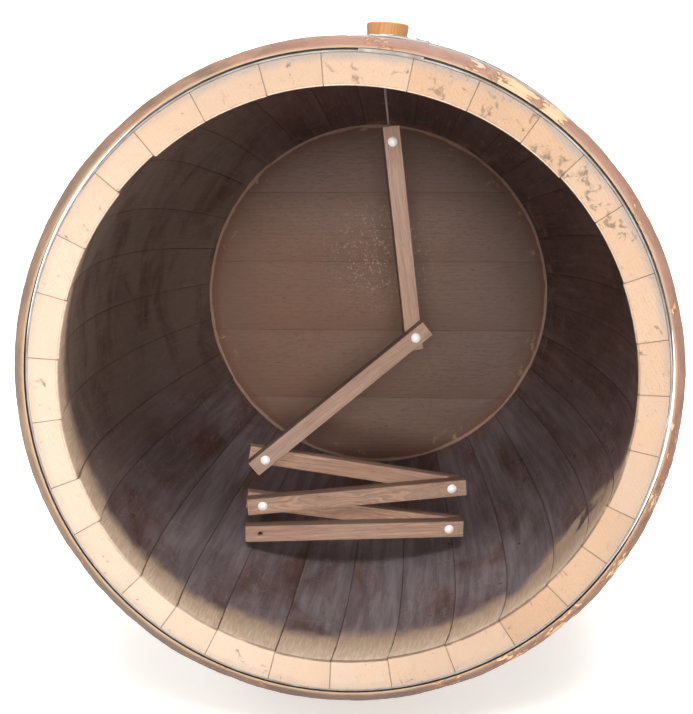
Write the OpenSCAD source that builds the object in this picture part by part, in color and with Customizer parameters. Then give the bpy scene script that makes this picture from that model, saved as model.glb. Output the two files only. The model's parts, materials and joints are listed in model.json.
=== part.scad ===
// Oak wine barrel lying on its side, one head taken out, with a zigzag chain of
// oak slats hung inside it from the bung.
// Frame: the barrel rests on z = 0 at mid length, +Z up, its axis runs along Y,
// the open end faces -Y and the closed head is at +Y.

/* [Barrel] */
// Length over the stave ends
barrel_length = 950; // [850:5:1150]
// Outer diameter over the stave ends
end_diameter = 576; // [500:2:640]
// Outer diameter at the bilge, half way along
bilge_diameter = 686; // [660:2:830]
// Thickness of a stave at its ends
stave_end_thickness = 29; // [24:0.5:35]
// Thickness of a stave at the bilge
stave_bilge_thickness = 22; // [18:0.5:27]
// Hairline between neighbouring staves of the dry barrel
stave_gap = 0.2; // [0.1:0.05:0.6]
// Chamfer along the inner edge of the stave ends
rim_chamfer = 2; // [0.5:0.5:5]

/* [Head] */
// Distance from the closed end's stave ends to the middle of the head
chime_depth = 42; // [35:1:60]
// Thickness of the head
head_thickness = 22; // [18:0.5:27]
// Depth of the groove that holds the head
groove_depth = 5; // [3:0.5:7]
// Width of the groove
groove_width = 7; // [5:0.5:9]
// Play between the head's edge and the groove
head_play = 0.3; // [0.2:0.05:1]
// Number of boards in the head
head_board_count = 5; // [5:1:5]
// Diameter of the dowels between head boards
dowel_diameter = 8; // [6:0.5:10]
// Length of a dowel
dowel_length = 40; // [30:1:50]
// Distance of the dowels from the head's middle
dowel_offset = 90; // [60:5:110]

/* [Steel hoops] */
// Thickness of the steel band
hoop_thickness = 1.5; // [1:0.1:2]
// Play between a hoop and the staves
hoop_play = 0.2; // [0.15:0.05:0.5]
// Width of the head hoops
head_hoop_width = 42; // [40:1:55]
// Distance of a head hoop from the stave ends
head_hoop_setback = 2; // [0.5:0.5:4]
// Width of the quarter hoops
quarter_hoop_width = 36; // [30:1:45]
// Distance of a quarter hoop from mid length
quarter_hoop_centre = 320; // [290:5:340]
// Width of the bilge hoops
bilge_hoop_width = 42; // [34:1:52]
// Distance of a bilge hoop from mid length
bilge_hoop_centre = 165; // [140:5:200]
// Length of the riveted overlap
lap_length = 58; // [48:1:70]
// Where the overlaps lie, counter-clockwise from +X seen from the open end
lap_angle = 82; // [60:1:120]
// Diameter of a rivet's shank
rivet_diameter = 5; // [4:0.5:6]
// Diameter of a rivet's head
rivet_head_diameter = 10; // [8:0.5:12]
// Height of a rivet's head
rivet_head_height = 1.4; // [1:0.1:1.8]

/* [Chestnut hoops] */
// Width of the split rod
rod_width = 27; // [22:1:29]
// Thickness of the split rod
rod_thickness = 9; // [7:0.5:12]
// Distance of the rod from the stave ends
rod_setback = 1.5; // [0.5:0.5:3]

/* [Bung] */
// Lean of the bung from vertical, seen from the open end
bung_angle = 4; // [-20:1:20]
// Diameter of the bung where it enters the stave
bung_diameter = 47; // [44:0.5:57]
// How much the bung's radius grows for each millimetre of height
bung_taper = 0.1; // [0.05:0.01:0.12]
// Height of the bung above the stave
bung_stand = 29; // [18:1:35]
// Depth of the bung below the outside of the stave
bung_depth = 24; // [20:1:30]
// Clearance around the seated bung
bung_play = 0.3; // [0.2:0.05:0.6]
// How far the bung lifts clear of its hole
bung_lift = 60; // [30:5:80]

/* [Cord] */
// Diameter of the cord
cord_diameter = 3; // [2:0.25:3.6]
// Length of the cord from the eye to the first pin
cord_length = 76; // [65:1:92]
// Lean of the cord from vertical
cord_lean = 6; // [-10:0.5:10]
// Wire diameter of the screw eye under the bung
eye_wire = 2.6; // [2:0.1:3]
// Radius of the screw eye's ring, to the middle of its wire
eye_radius = 6; // [5.5:0.1:7.2]
// Depth of the screw eye's shank in the bung
eye_depth = 12; // [8:1:18]
// Clearance between the cord's loops and what they hold
loop_play = 0.3; // [0.2:0.05:0.4]

/* [Slats] */
// Distance between the two pins of a slat
pin_spacing = 243.5; // [203:0.5:246]
// Length of slat past each pin
slat_overhang = 19; // [15:0.5:21]
// Width of a slat
slat_width = 21; // [17:0.5:24]
// Thickness of a slat
slat_thickness = 18; // [15:0.5:22]
// Gap between slats that lie on each other
slat_gap = 0.4; // [0.2:0.1:1]

/* [Pins] */
// Diameter of a pin's shank
pin_diameter = 5.5; // [4.5:0.1:6.6]
// Radial running clearance of the pins
pin_play = 0.05; // [0.02:0.01:0.1]
// Diameter of a pin's domed head
pin_head_diameter = 12; // [10:0.5:15]
// Height of a pin's domed head
pin_head_height = 3; // [2:0.5:4]
// Diameter of the collar that holds a pin at the back
pin_collar_diameter = 9.5; // [8:0.5:11.5]
// Height of the collar
pin_collar_height = 1.6; // [1:0.2:2.4]
// Play along the pin under its head and its collar
pin_end_play = 0.2; // [0.1:0.05:0.5]

/* [Resting pose of the chain] */
// Turn of the chain about the vertical
chain_turn = 10; // [-20:1:20]
// Lean of the chain's top towards the open end
chain_lean = 3; // [0:0.5:5]

/* [Hidden] */
$fn = 120;
stave_arc_fn = 720;
cut = 1;

// Direction of each slat from its upper pin, counter-clockwise from +X.
slat_direction = [-83, 219, -10.5, 183.7, -9.1, 179.5];
slat_count = len(slat_direction);

// Shares of the ring that the staves take, counter-clockwise from the bung stave.
stave_share = [
    16, 11, 13, 12, 10, 13, 11, 12, 12, 12.5, 9.5, 14, 9.5, 9.5, 12.5, 11.5,
    11.5, 12, 12, 12, 10.5, 9.5, 12, 11, 10, 12, 13, 11, 10, 12, 12
];
stave_count = len(stave_share);

function total(list, n) = n == 0 ? 0 : list[n - 1] + total(list, n - 1);
ring_share = total(stave_share, stave_count);
function stave_sweep(i) = 360 * stave_share[i] / ring_share;
function stave_start(i) =
    90 - bung_angle - stave_sweep(0) / 2 + 360 * total(stave_share, i) / ring_share;

half_length = barrel_length / 2;
end_radius = end_diameter / 2;
bilge_radius = bilge_diameter / 2;
inner_end_radius = end_radius - stave_end_thickness;
inner_bilge_radius = bilge_radius - stave_bilge_thickness;

// Both faces of a stave are arcs along the barrel; depth is the rise of such an arc.
function arc_radius(depth) = (pow(half_length, 2) + pow(depth, 2)) / (2 * depth);
function arc_at(end_r, bilge_r, z) =
    bilge_r - arc_radius(bilge_r - end_r)
    + sqrt(pow(arc_radius(bilge_r - end_r), 2) - pow(z, 2));
function outer_at(z) = arc_at(end_radius, bilge_radius, z);
function inner_at(z) = arc_at(inner_end_radius, inner_bilge_radius, z);

// The head, in the barrel's own frame, where the open end is +z.
head_z = -(half_length - chime_depth);
groove_radius = inner_at(head_z) + groove_depth;
head_radius = groove_radius - head_play;
head_tongue = groove_width - 2 * head_play;
tongue_radius = head_radius - groove_depth - 2;
bevel_radius = tongue_radius - 16;
board_height = 2 * head_radius / head_board_count;
dowel_play = 0.05;
board_gap = 0.2;

// Steel hoops: inner radius of the band at z, and its slope. A band is straight across
// its width, so it also stands off by the rise of the staves' arc over that width.
function band_at(z) = outer_at(z) + hoop_play;
function band_rise(w) = pow(w, 2) / (8 * arc_radius(bilge_radius - end_radius));
function band_slope(z, w) = atan((band_at(z - w / 2) - band_at(z + w / 2)) / w);
function lap_sweep(z) = lap_length / band_at(z) * 180 / PI;
head_hoop_centre = half_length - head_hoop_setback - head_hoop_width / 2;

// Chestnut hoops lie over the head hoops and clear their overlaps.
rod_play = 0.3;
rod_centre = half_length - rod_setback - rod_width / 2;
rod_slope = band_slope(rod_centre, rod_width);
rod_seat = band_at(rod_centre) + band_rise(head_hoop_width)
    + (2 * hoop_thickness + rod_play) / cos(rod_slope);
rod_arc = (pow(rod_thickness, 2) + pow(rod_width / 2, 2)) / (2 * rod_thickness);
rod_edge = 1.5;

// Rivets of a head hoop stand on the strip that the rod leaves free.
rod_inner_edge = rod_centre - rod_width / 2;
head_hoop_inner_edge = head_hoop_centre - head_hoop_width / 2;
head_rivet_z = (rod_inner_edge + head_hoop_inner_edge) / 2;
rivet_play = 0.05;
rivet_seat = 0.1;
rivet_spread = 0.25;

// Bung, eye and cord, along the bung's axis from the barrel's axis.
bung_bottom = bilge_radius - bung_depth;
bung_radius = bung_diameter / 2;
bung_chamfer = 1.5;
eye_seat = 0.3;
shank_extra = 0.2;
shank_play = 0.05;
eye_centre = bung_bottom - eye_radius - eye_wire / 2 - eye_seat;
shank_length = bung_bottom + eye_depth - eye_centre - eye_radius;
pivot_radius = eye_centre - eye_radius;
cord_radius = cord_diameter / 2;
pivot = [pivot_radius * sin(bung_angle), 0, pivot_radius * cos(bung_angle)];
hang = pivot + cord_length * [sin(cord_lean), 0, -cos(cord_lean)];

// Upper loop, through the eye.
upper_reach = eye_wire / 2 + loop_play + cord_radius;
upper_loop = 2 * cord_radius + eye_wire / 2 + 2 * loop_play - 0.6 + cord_radius / 2;
knot_radius = 0.8 * cord_diameter;
knot_gap = cord_radius - 0.5;
upper_knot = upper_loop - upper_reach + upper_loop + knot_gap;

// Lower loop, around the first pin behind the first slat.
pin_radius = pin_diameter / 2;
bore_radius = pin_radius + pin_play;
lower_loop = pin_radius + loop_play + cord_radius;
lower_knot = lower_loop + knot_gap;
cord_stand = knot_radius + 0.4;

// Layers of the chain, as y in the chain's own frame, where +y is towards the head.
back_of_rear = -cord_stand;
front_of_rear = back_of_rear - slat_thickness;
back_of_front = front_of_rear - slat_gap;
front_of_front = back_of_front - slat_thickness;
function in_front(i) = i % 2 == 1;
function slat_face(i) = in_front(i) ? front_of_front : front_of_rear;

// Pin centres in the chain's own frame, the first at its origin.
function pin_at(i) = i == 0 ? [0, 0, 0] : pin_at(i - 1)
    + pin_spacing * [cos(slat_direction[i - 1]), 0, sin(slat_direction[i - 1])];

function two_digits(i) = str(i < 10 ? "0" : "", i);
function stave_name(i) = i == 0 ? "bung_stave" : str("stave_", two_digits(i + 1));
function board_name(i) = str("head_board_", i + 1);
function slat_name(i) = str("slat_", i + 1);
function pin_name(i) = str("pin_", i + 1);

// Barrel frame: +z is towards the open end, angles are seen from there.
module in_barrel() {
    translate([0, 0, bilge_radius])
        rotate([90, 0, 0])
            children();
}

// Bung frame: +z is outwards along the bung's axis, from the barrel's axis.
module in_bung() {
    translate([0, 0, bilge_radius])
        rotate([0, bung_angle, 0])
            children();
}

// Chain frame: the first pin's axis is y through the origin.
module in_chain() {
    translate(hang + [0, 0, bilge_radius])
        rotate([chain_lean, 0, chain_turn])
            children();
}

module ring(radius, tube) {
    rotate_extrude()
        translate([radius, 0])
            circle(r = tube);
}

// Staves

module arc_disc(end_r, bilge_r) {
    translate([bilge_r - arc_radius(bilge_r - end_r), 0])
        circle(r = arc_radius(bilge_r - end_r), $fn = stave_arc_fn);
}

module rim_cut() {
    for (side = [-1, 1])
        polygon([
            [inner_end_radius - cut, side * (half_length - rim_chamfer - cut)],
            [inner_end_radius - cut, side * (half_length + cut)],
            [inner_end_radius + rim_chamfer + cut, side * (half_length + cut)]
        ]);
}

module groove_cut() {
    translate([inner_at(head_z) - head_thickness, head_z - groove_width / 2])
        square([head_thickness + groove_depth, groove_width]);
}

module stave_section() {
    difference() {
        intersection() {
            arc_disc(end_radius, bilge_radius);
            translate([inner_end_radius / 2, -half_length])
                square([bilge_radius, barrel_length]);
        }
        arc_disc(inner_end_radius, inner_bilge_radius);
        rim_cut();
        groove_cut();
    }
}

module plain_stave(i) {
    gap_angle = stave_gap / bilge_radius * 180 / PI;
    in_barrel()
        rotate([0, 0, stave_start(i) + gap_angle / 2])
            rotate_extrude(angle = stave_sweep(i) - gap_angle)
                stave_section();
}

module bung_cone(play, low, high) {
    translate([0, 0, low])
        cylinder(
            h = high - low,
            r1 = bung_radius + play + bung_taper * (low - bilge_radius),
            r2 = bung_radius + play + bung_taper * (high - bilge_radius)
        );
}

module stave(i) {
    color(i % 3 == 0 ? "burlywood" : i % 3 == 1 ? "tan" : "wheat")
        if (i == 0)
            difference() {
                plain_stave(i);
                in_bung() bung_cone(bung_play, bung_bottom - bung_depth, bilge_radius + bung_stand);
            }
        else
            plain_stave(i);
}

// Head

module head_disc() {
    rotate_extrude()
        polygon([
            [0, -head_thickness / 2],
            [bevel_radius, -head_thickness / 2],
            [tongue_radius, -head_tongue / 2],
            [head_radius, -head_tongue / 2],
            [head_radius, head_tongue / 2],
            [tongue_radius, head_tongue / 2],
            [bevel_radius, head_thickness / 2],
            [0, head_thickness / 2]
        ]);
}

function seam_at(i) = -head_radius + i * board_height;

module dowels(play) {
    for (i = [1:head_board_count - 1], side = [-1, 1])
        translate([side * dowel_offset, seam_at(i), 0])
            rotate([90, 0, 0])
                cylinder(h = dowel_length + 2 * play, d = dowel_diameter + 2 * play, center = true);
}

module in_head() {
    in_barrel()
        translate([0, 0, head_z])
            children();
}

module head_board(i) {
    color(i % 2 == 0 ? "peru" : "burlywood")
        in_head()
            difference() {
                intersection() {
                    head_disc();
                    translate([-head_radius - cut, seam_at(i) + board_gap / 2, -head_thickness])
                        cube([
                            2 * (head_radius + cut),
                            board_height - board_gap,
                            2 * head_thickness
                        ]);
                }
                dowels(dowel_play);
            }
}

module head_dowels() {
    color("sandybrown") in_head() dowels(0);
}

// Steel hoops

module band_section(z, w, inset, thick) {
    low = z - w / 2;
    high = z + w / 2;
    seat = band_rise(w) + inset;
    polygon([
        [band_at(low) + seat, low],
        [band_at(high) + seat, high],
        [band_at(high) + seat + thick, high],
        [band_at(low) + seat + thick, low]
    ]);
}

module on_band(z, w, rivet_z, turn) {
    slope = band_slope(z, w);
    seat = band_at(z - w / 2) + band_rise(w) - (rivet_z - z + w / 2) * tan(slope);
    rotate([0, 0, lap_angle + turn])
        translate([seat + 2 * hoop_thickness, 0, rivet_z])
            rotate([0, 90 - slope, 0])
                children();
}

module rivet() {
    dome = (pow(rivet_head_diameter / 2, 2) + pow(rivet_head_height, 2)) / (2 * rivet_head_height);
    translate([0, 0, rivet_seat])
        rotate_extrude()
            intersection() {
                translate([0, rivet_head_height - dome]) circle(r = dome);
                square([rivet_head_diameter, rivet_head_height]);
            }
    translate([0, 0, -2 * hoop_thickness])
        cylinder(h = 2 * hoop_thickness + rivet_seat + cut / 2, d = rivet_diameter);
}

module rivet_hole() {
    translate([0, 0, -3 * hoop_thickness])
        cylinder(h = 5 * hoop_thickness, d = rivet_diameter + 2 * rivet_play);
}

module at_rivets(z, w, rivet_z) {
    for (side = [-1, 1])
        on_band(z, w, rivet_z, side * rivet_spread * lap_sweep(z))
            children();
}

module hoop(z, w, rivet_z) {
    difference() {
        union() {
            rotate_extrude() band_section(z, w, 0, hoop_thickness);
            rotate([0, 0, lap_angle - lap_sweep(z) / 2])
                rotate_extrude(angle = lap_sweep(z))
                    band_section(z, w, hoop_thickness / 2, 1.5 * hoop_thickness);
        }
        at_rivets(z, w, rivet_z) rivet_hole();
    }
}

module at_end(front) {
    in_barrel()
        mirror([0, 0, front ? 0 : 1])
            children();
}

module head_hoop(front) {
    color("silver")
        at_end(front) hoop(head_hoop_centre, head_hoop_width, head_rivet_z);
}

module quarter_hoops() {
    color("darkgray")
        for (front = [true, false])
            at_end(front) hoop(quarter_hoop_centre, quarter_hoop_width, quarter_hoop_centre);
}

module bilge_hoop(front) {
    color("silver")
        at_end(front) hoop(bilge_hoop_centre, bilge_hoop_width, bilge_hoop_centre);
}

module hoop_rivets() {
    color("gray")
        for (front = [true, false])
            at_end(front) {
                at_rivets(head_hoop_centre, head_hoop_width, head_rivet_z) rivet();
                at_rivets(quarter_hoop_centre, quarter_hoop_width, quarter_hoop_centre) rivet();
                at_rivets(bilge_hoop_centre, bilge_hoop_width, bilge_hoop_centre) rivet();
            }
}

// Chestnut hoops: a split rod, flat inside and round outside.

module rod_section() {
    intersection() {
        translate([0, -rod_width / 2 + rod_edge])
            square([rod_thickness, rod_width - 2 * rod_edge]);
        translate([rod_thickness - rod_arc, 0])
            circle(r = rod_arc);
    }
}

module chestnut_hoop(front) {
    color("saddlebrown")
        at_end(front)
            rotate_extrude()
                translate([rod_seat, rod_centre])
                    rotate(rod_slope)
                        rod_section();
}

// Bung, screw eye and cord

module bung() {
    top = bilge_radius + bung_stand;
    color("goldenrod")
        in_bung()
            difference() {
                union() {
                    bung_cone(0, bung_bottom, top - bung_chamfer);
                    translate([0, 0, top - bung_chamfer])
                        cylinder(
                            h = bung_chamfer,
                            r1 = bung_radius + bung_taper * (bung_stand - bung_chamfer),
                            r2 = bung_radius + bung_taper * bung_stand - bung_chamfer
                        );
                }
                translate([0, 0, bung_bottom - cut])
                    cylinder(h = eye_depth + shank_play + cut,
                             r = eye_wire / 2 + shank_extra + shank_play);
            }
}

module bung_eye() {
    color("lightgray")
        in_bung() {
            translate([0, 0, eye_centre])
                rotate([90, 0, 0])
                    ring(eye_radius, eye_wire / 2);
            translate([0, 0, eye_centre + eye_radius])
                cylinder(h = shank_length, r = eye_wire / 2 + shank_extra);
        }
}

module cord() {
    color("gainsboro") {
        translate(pivot + [0, 0, bilge_radius])
            rotate([0, -cord_lean, 0]) {
                translate([0, 0, upper_reach - upper_loop])
                    rotate([0, 90, 0])
                        ring(upper_loop, cord_radius);
                translate([0, 0, -upper_knot])
                    sphere(r = knot_radius);
                translate([0, 0, -cord_length + lower_knot])
                    cylinder(h = cord_length - lower_knot - upper_knot, r = cord_radius);
                translate([0, 0, -cord_length + lower_knot])
                    sphere(r = knot_radius);
            }
        in_chain()
            rotate([90, 0, 0])
                ring(lower_loop, cord_radius);
    }
}

// Chain

module slat_blank(i) {
    translate([-slat_overhang, slat_face(i), -slat_width / 2])
        cube([pin_spacing + 2 * slat_overhang, slat_thickness, slat_width]);
}

module pin_bore(x) {
    translate([x, cut, 0])
        rotate([90, 0, 0])
            cylinder(h = -front_of_front + 2 * cut, r = bore_radius);
}

module slat(i) {
    color(i % 2 == 0 ? "rosybrown" : "burlywood")
        in_chain()
            translate(pin_at(i))
                rotate([0, -slat_direction[i], 0])
                    difference() {
                        slat_blank(i);
                        pin_bore(0);
                        pin_bore(pin_spacing);
                    }
}

// A pin joins the slat above it to the one below; the first one holds the cord.
function pin_front(i) = i == 0 ? front_of_rear : front_of_front;
function pin_back(i) = i == 0 ? knot_radius + 2 * loop_play : back_of_rear;

module pin(i) {
    dome = (pow(pin_head_diameter / 2, 2) + pow(pin_head_height, 2)) / (2 * pin_head_height);
    grip = pin_back(i) - pin_front(i) + 2 * pin_end_play;
    color("white")
        in_chain()
            translate(pin_at(i) + [0, pin_back(i) + pin_end_play, 0])
                rotate([90, 0, 0]) {
                    translate([0, 0, -pin_collar_height])
                        cylinder(h = pin_collar_height, d = pin_collar_diameter);
                    cylinder(h = grip, r = pin_radius);
                    translate([0, 0, grip])
                        rotate_extrude()
                            intersection() {
                                translate([0, pin_head_height - dome]) circle(r = dome);
                                square([pin_head_diameter, pin_head_height]);
                            }
                }
}

for (i = [0:stave_count - 1])
    stave(i);
for (i = [0:head_board_count - 1])
    head_board(i);
head_dowels();
head_hoop(true);  // front_head_hoop
head_hoop(false);  // rear_head_hoop
quarter_hoops();
bilge_hoop(true);  // front_bilge_hoop
bilge_hoop(false);  // rear_bilge_hoop
hoop_rivets();
chestnut_hoop(true);  // front_chestnut_hoop
chestnut_hoop(false);  // rear_chestnut_hoop
bung();
bung_eye();
cord();
for (i = [0:slat_count - 1]) {
    slat(i);
    pin(i);
}
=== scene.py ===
"""Looks for an open-ended oak barrel with an infusion chain hung from its bung.

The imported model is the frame. Each operator makes or finishes one group of pieces in it.
Lengths are metres; the barrel's axis runs along Y and its open end faces -Y.
"""

import json
import math
import random

import bpy
from bpy.props import FloatProperty, FloatVectorProperty, IntProperty, PointerProperty
from mathutils import Matrix, Vector, noise


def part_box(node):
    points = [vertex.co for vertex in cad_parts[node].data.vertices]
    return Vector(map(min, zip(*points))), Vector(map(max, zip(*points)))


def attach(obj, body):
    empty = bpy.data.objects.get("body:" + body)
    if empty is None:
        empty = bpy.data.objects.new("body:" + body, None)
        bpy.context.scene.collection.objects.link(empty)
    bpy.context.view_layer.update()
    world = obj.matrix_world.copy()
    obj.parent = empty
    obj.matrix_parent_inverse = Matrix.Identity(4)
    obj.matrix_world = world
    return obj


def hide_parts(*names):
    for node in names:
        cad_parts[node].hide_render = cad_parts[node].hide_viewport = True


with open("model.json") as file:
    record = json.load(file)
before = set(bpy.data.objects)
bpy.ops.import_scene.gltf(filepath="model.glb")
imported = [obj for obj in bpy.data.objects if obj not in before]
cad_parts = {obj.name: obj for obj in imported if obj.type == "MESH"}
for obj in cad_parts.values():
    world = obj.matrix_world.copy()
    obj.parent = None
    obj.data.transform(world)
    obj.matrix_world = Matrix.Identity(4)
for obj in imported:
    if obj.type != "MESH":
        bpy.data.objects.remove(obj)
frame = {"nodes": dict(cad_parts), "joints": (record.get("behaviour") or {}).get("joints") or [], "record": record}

bl_info = {
    "name": "Open barrel with infusion chain",
    "version": (1, 0, 0),
    "blender": (4, 5, 0),
    "location": "View3D > Sidebar > Barrel",
    "description": "Builds the wood, steel, cord and pegs of an open oak barrel",
    "category": "Object",
}

NODES = frame["nodes"]
RECORD = frame["record"]
JOINTS = {joint["name"]: joint for joint in frame["joints"]}
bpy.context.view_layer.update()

STAVES = sorted((n for n in NODES if "stave" in n), key=lambda n: (n != "bung_stave", n))
BOARDS = sorted(n for n in NODES if n.startswith("head_board"))
STEEL_HOOPS = [n for n in NODES if n.endswith("hoop") or n == "quarter_hoops"]
STEEL_HOOPS = sorted(n for n in STEEL_HOOPS if "chestnut" not in n)
SLATS = sorted(n for n in NODES if n.startswith("slat_"))
PEGS = sorted(n for n in NODES if n.startswith("pin_"))

# The barrel's shape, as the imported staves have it.
ROD_LOW, ROD_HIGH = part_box("front_chestnut_hoop")
AXIS_HEIGHT = (ROD_LOW.z + ROD_HIGH.z) / 2
HALF_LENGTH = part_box("bung_stave")[1].y
END_RADIUS, BILGE_RADIUS = 0.288, 0.343
INNER_END_RADIUS, INNER_BILGE_RADIUS = 0.259, 0.321
RIM_CHAMFER = 0.002
HEAD_INNER_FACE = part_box("head_board_3")[0].y
HEAD_OUTER_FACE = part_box("head_board_3")[1].y
HEAD_MIDDLE = (HEAD_INNER_FACE + HEAD_OUTER_FACE) / 2
GROOVE_WIDTH, GROOVE_DEPTH = 0.007, 0.005
FULL_TURN = 6.2832  # radians


def arc_at(end, bilge, y):
    """Radius at y of an arc that runs from end to bilge and back along the barrel."""
    depth = bilge - end
    radius = (HALF_LENGTH**2 + depth**2) / (2 * depth)
    return bilge - radius + math.sqrt(radius**2 - y**2)


def outer_at(y):
    return arc_at(END_RADIUS, BILGE_RADIUS, y)


def inner_at(y):
    return arc_at(INNER_END_RADIUS, INNER_BILGE_RADIUS, y)


# Settings


class StaveSettings(bpy.types.PropertyGroup):
    edge_rounding: FloatProperty(
        name="Edge rounding", description="Rounding of the staves' arrises",
        default=0.0006, min=0.0, subtype="DISTANCE", unit="LENGTH",
    )
    thickness_scatter: FloatProperty(
        name="Thickness scatter", description="How much thinner a stave may be at its ends",
        default=0.0026, min=0.0, subtype="DISTANCE", unit="LENGTH",
    )
    toast_start: FloatProperty(
        name="Toast start", description="How far in from the rim the charred wood begins",
        default=0.150, min=0.0, subtype="DISTANCE", unit="LENGTH",
    )
    fresh_oak: FloatVectorProperty(
        name="Sawn oak", description="Colour of the sawn stave ends",
        default=(0.365, 0.252, 0.170), min=0.0, max=1.0, subtype="COLOR",
    )
    toasted_oak: FloatVectorProperty(
        name="Toasted oak", description="Colour of the charred, wine-stained inside",
        default=(0.147, 0.081, 0.068), min=0.0, max=1.0, subtype="COLOR",
    )
    weathered_oak: FloatVectorProperty(
        name="Weathered oak", description="Colour of the outside of the staves",
        default=(0.265, 0.178, 0.110), min=0.0, max=1.0, subtype="COLOR",
    )


class HeadSettings(bpy.types.PropertyGroup):
    stained_oak: FloatVectorProperty(
        name="Wine-stained oak", description="Colour of the head's inner face",
        default=(0.205, 0.118, 0.086), min=0.0, max=1.0, subtype="COLOR",
    )
    seam: FloatProperty(
        name="Seam", description="Open width of the seams between boards",
        default=0.00004, min=0.0, subtype="DISTANCE", unit="LENGTH",
    )
    edge_rounding: FloatProperty(
        name="Edge rounding", description="Rounding of the boards' arrises",
        default=0.0003, min=0.0, subtype="DISTANCE", unit="LENGTH",
    )


class HoopSettings(bpy.types.PropertyGroup):
    bark: FloatVectorProperty(
        name="Bark", description="Colour of the chestnut rod's bark",
        default=(0.165, 0.095, 0.062), min=0.0, max=1.0, subtype="COLOR",
    )
    peeled: FloatVectorProperty(
        name="Peeled wood", description="Colour of the rod where its bark has come off",
        default=(0.53, 0.30, 0.145), min=0.0, max=1.0, subtype="COLOR",
    )
    bark_relief: FloatProperty(
        name="Bark relief", description="Height of the bark's ridges",
        default=0.0009, min=0.0, subtype="DISTANCE", unit="LENGTH",
    )
    zinc: FloatVectorProperty(
        name="Galvanised steel", description="Colour of the steel hoops",
        default=(0.27, 0.262, 0.255), min=0.0, max=1.0, subtype="COLOR",
    )


class ChainSettings(bpy.types.PropertyGroup):
    slat_rounding: FloatProperty(
        name="Slat rounding", description="Rounding of the slats' arrises",
        default=0.0009, min=0.0, subtype="DISTANCE", unit="LENGTH",
    )
    slat_oak: FloatVectorProperty(
        name="Slat oak", description="Colour of the wine-tinted slats",
        default=(0.450, 0.278, 0.190), min=0.0, max=1.0, subtype="COLOR",
    )
    peg_white: FloatVectorProperty(
        name="Peg", description="Colour of the pegs",
        default=(1.0, 1.0, 1.0), min=0.0, max=1.0, subtype="COLOR",
    )
    bung_wood: FloatVectorProperty(
        name="Bung wood", description="Colour of the turned bung",
        default=(0.50, 0.245, 0.090), min=0.0, max=1.0, subtype="COLOR",
    )
    cord_plies: IntProperty(
        name="Cord plies", description="Strands laid together in the cord",
        default=3, min=2, max=5,
    )
    cord_colour: FloatVectorProperty(
        name="Cord", description="Colour of the wine-tinted cord",
        default=(0.34, 0.27, 0.28), min=0.0, max=1.0, subtype="COLOR",
    )


class StageSettings(bpy.types.PropertyGroup):
    eye: FloatVectorProperty(
        name="Camera place", description="Where the camera stands",
        default=(0.0651, -1.5819, 0.5151), subtype="TRANSLATION", unit="LENGTH",
    )
    turn: FloatProperty(
        name="Turn", description="Turn of the camera to the left",
        default=math.radians(3.263), subtype="ANGLE", unit="ROTATION",
    )
    dip: FloatProperty(
        name="Dip", description="How far the camera looks down",
        default=math.radians(7.692), subtype="ANGLE", unit="ROTATION",
    )
    lens: FloatProperty(
        name="Lens", description="Focal length on a 36 mm sensor",
        default=63.24, subtype="DISTANCE_CAMERA",
    )
    floor_tone: FloatProperty(
        name="Floor tone", description="How pale the floor is",
        default=0.94, min=0.0, max=1.0, subtype="FACTOR",
    )


# Shader building blocks


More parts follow.
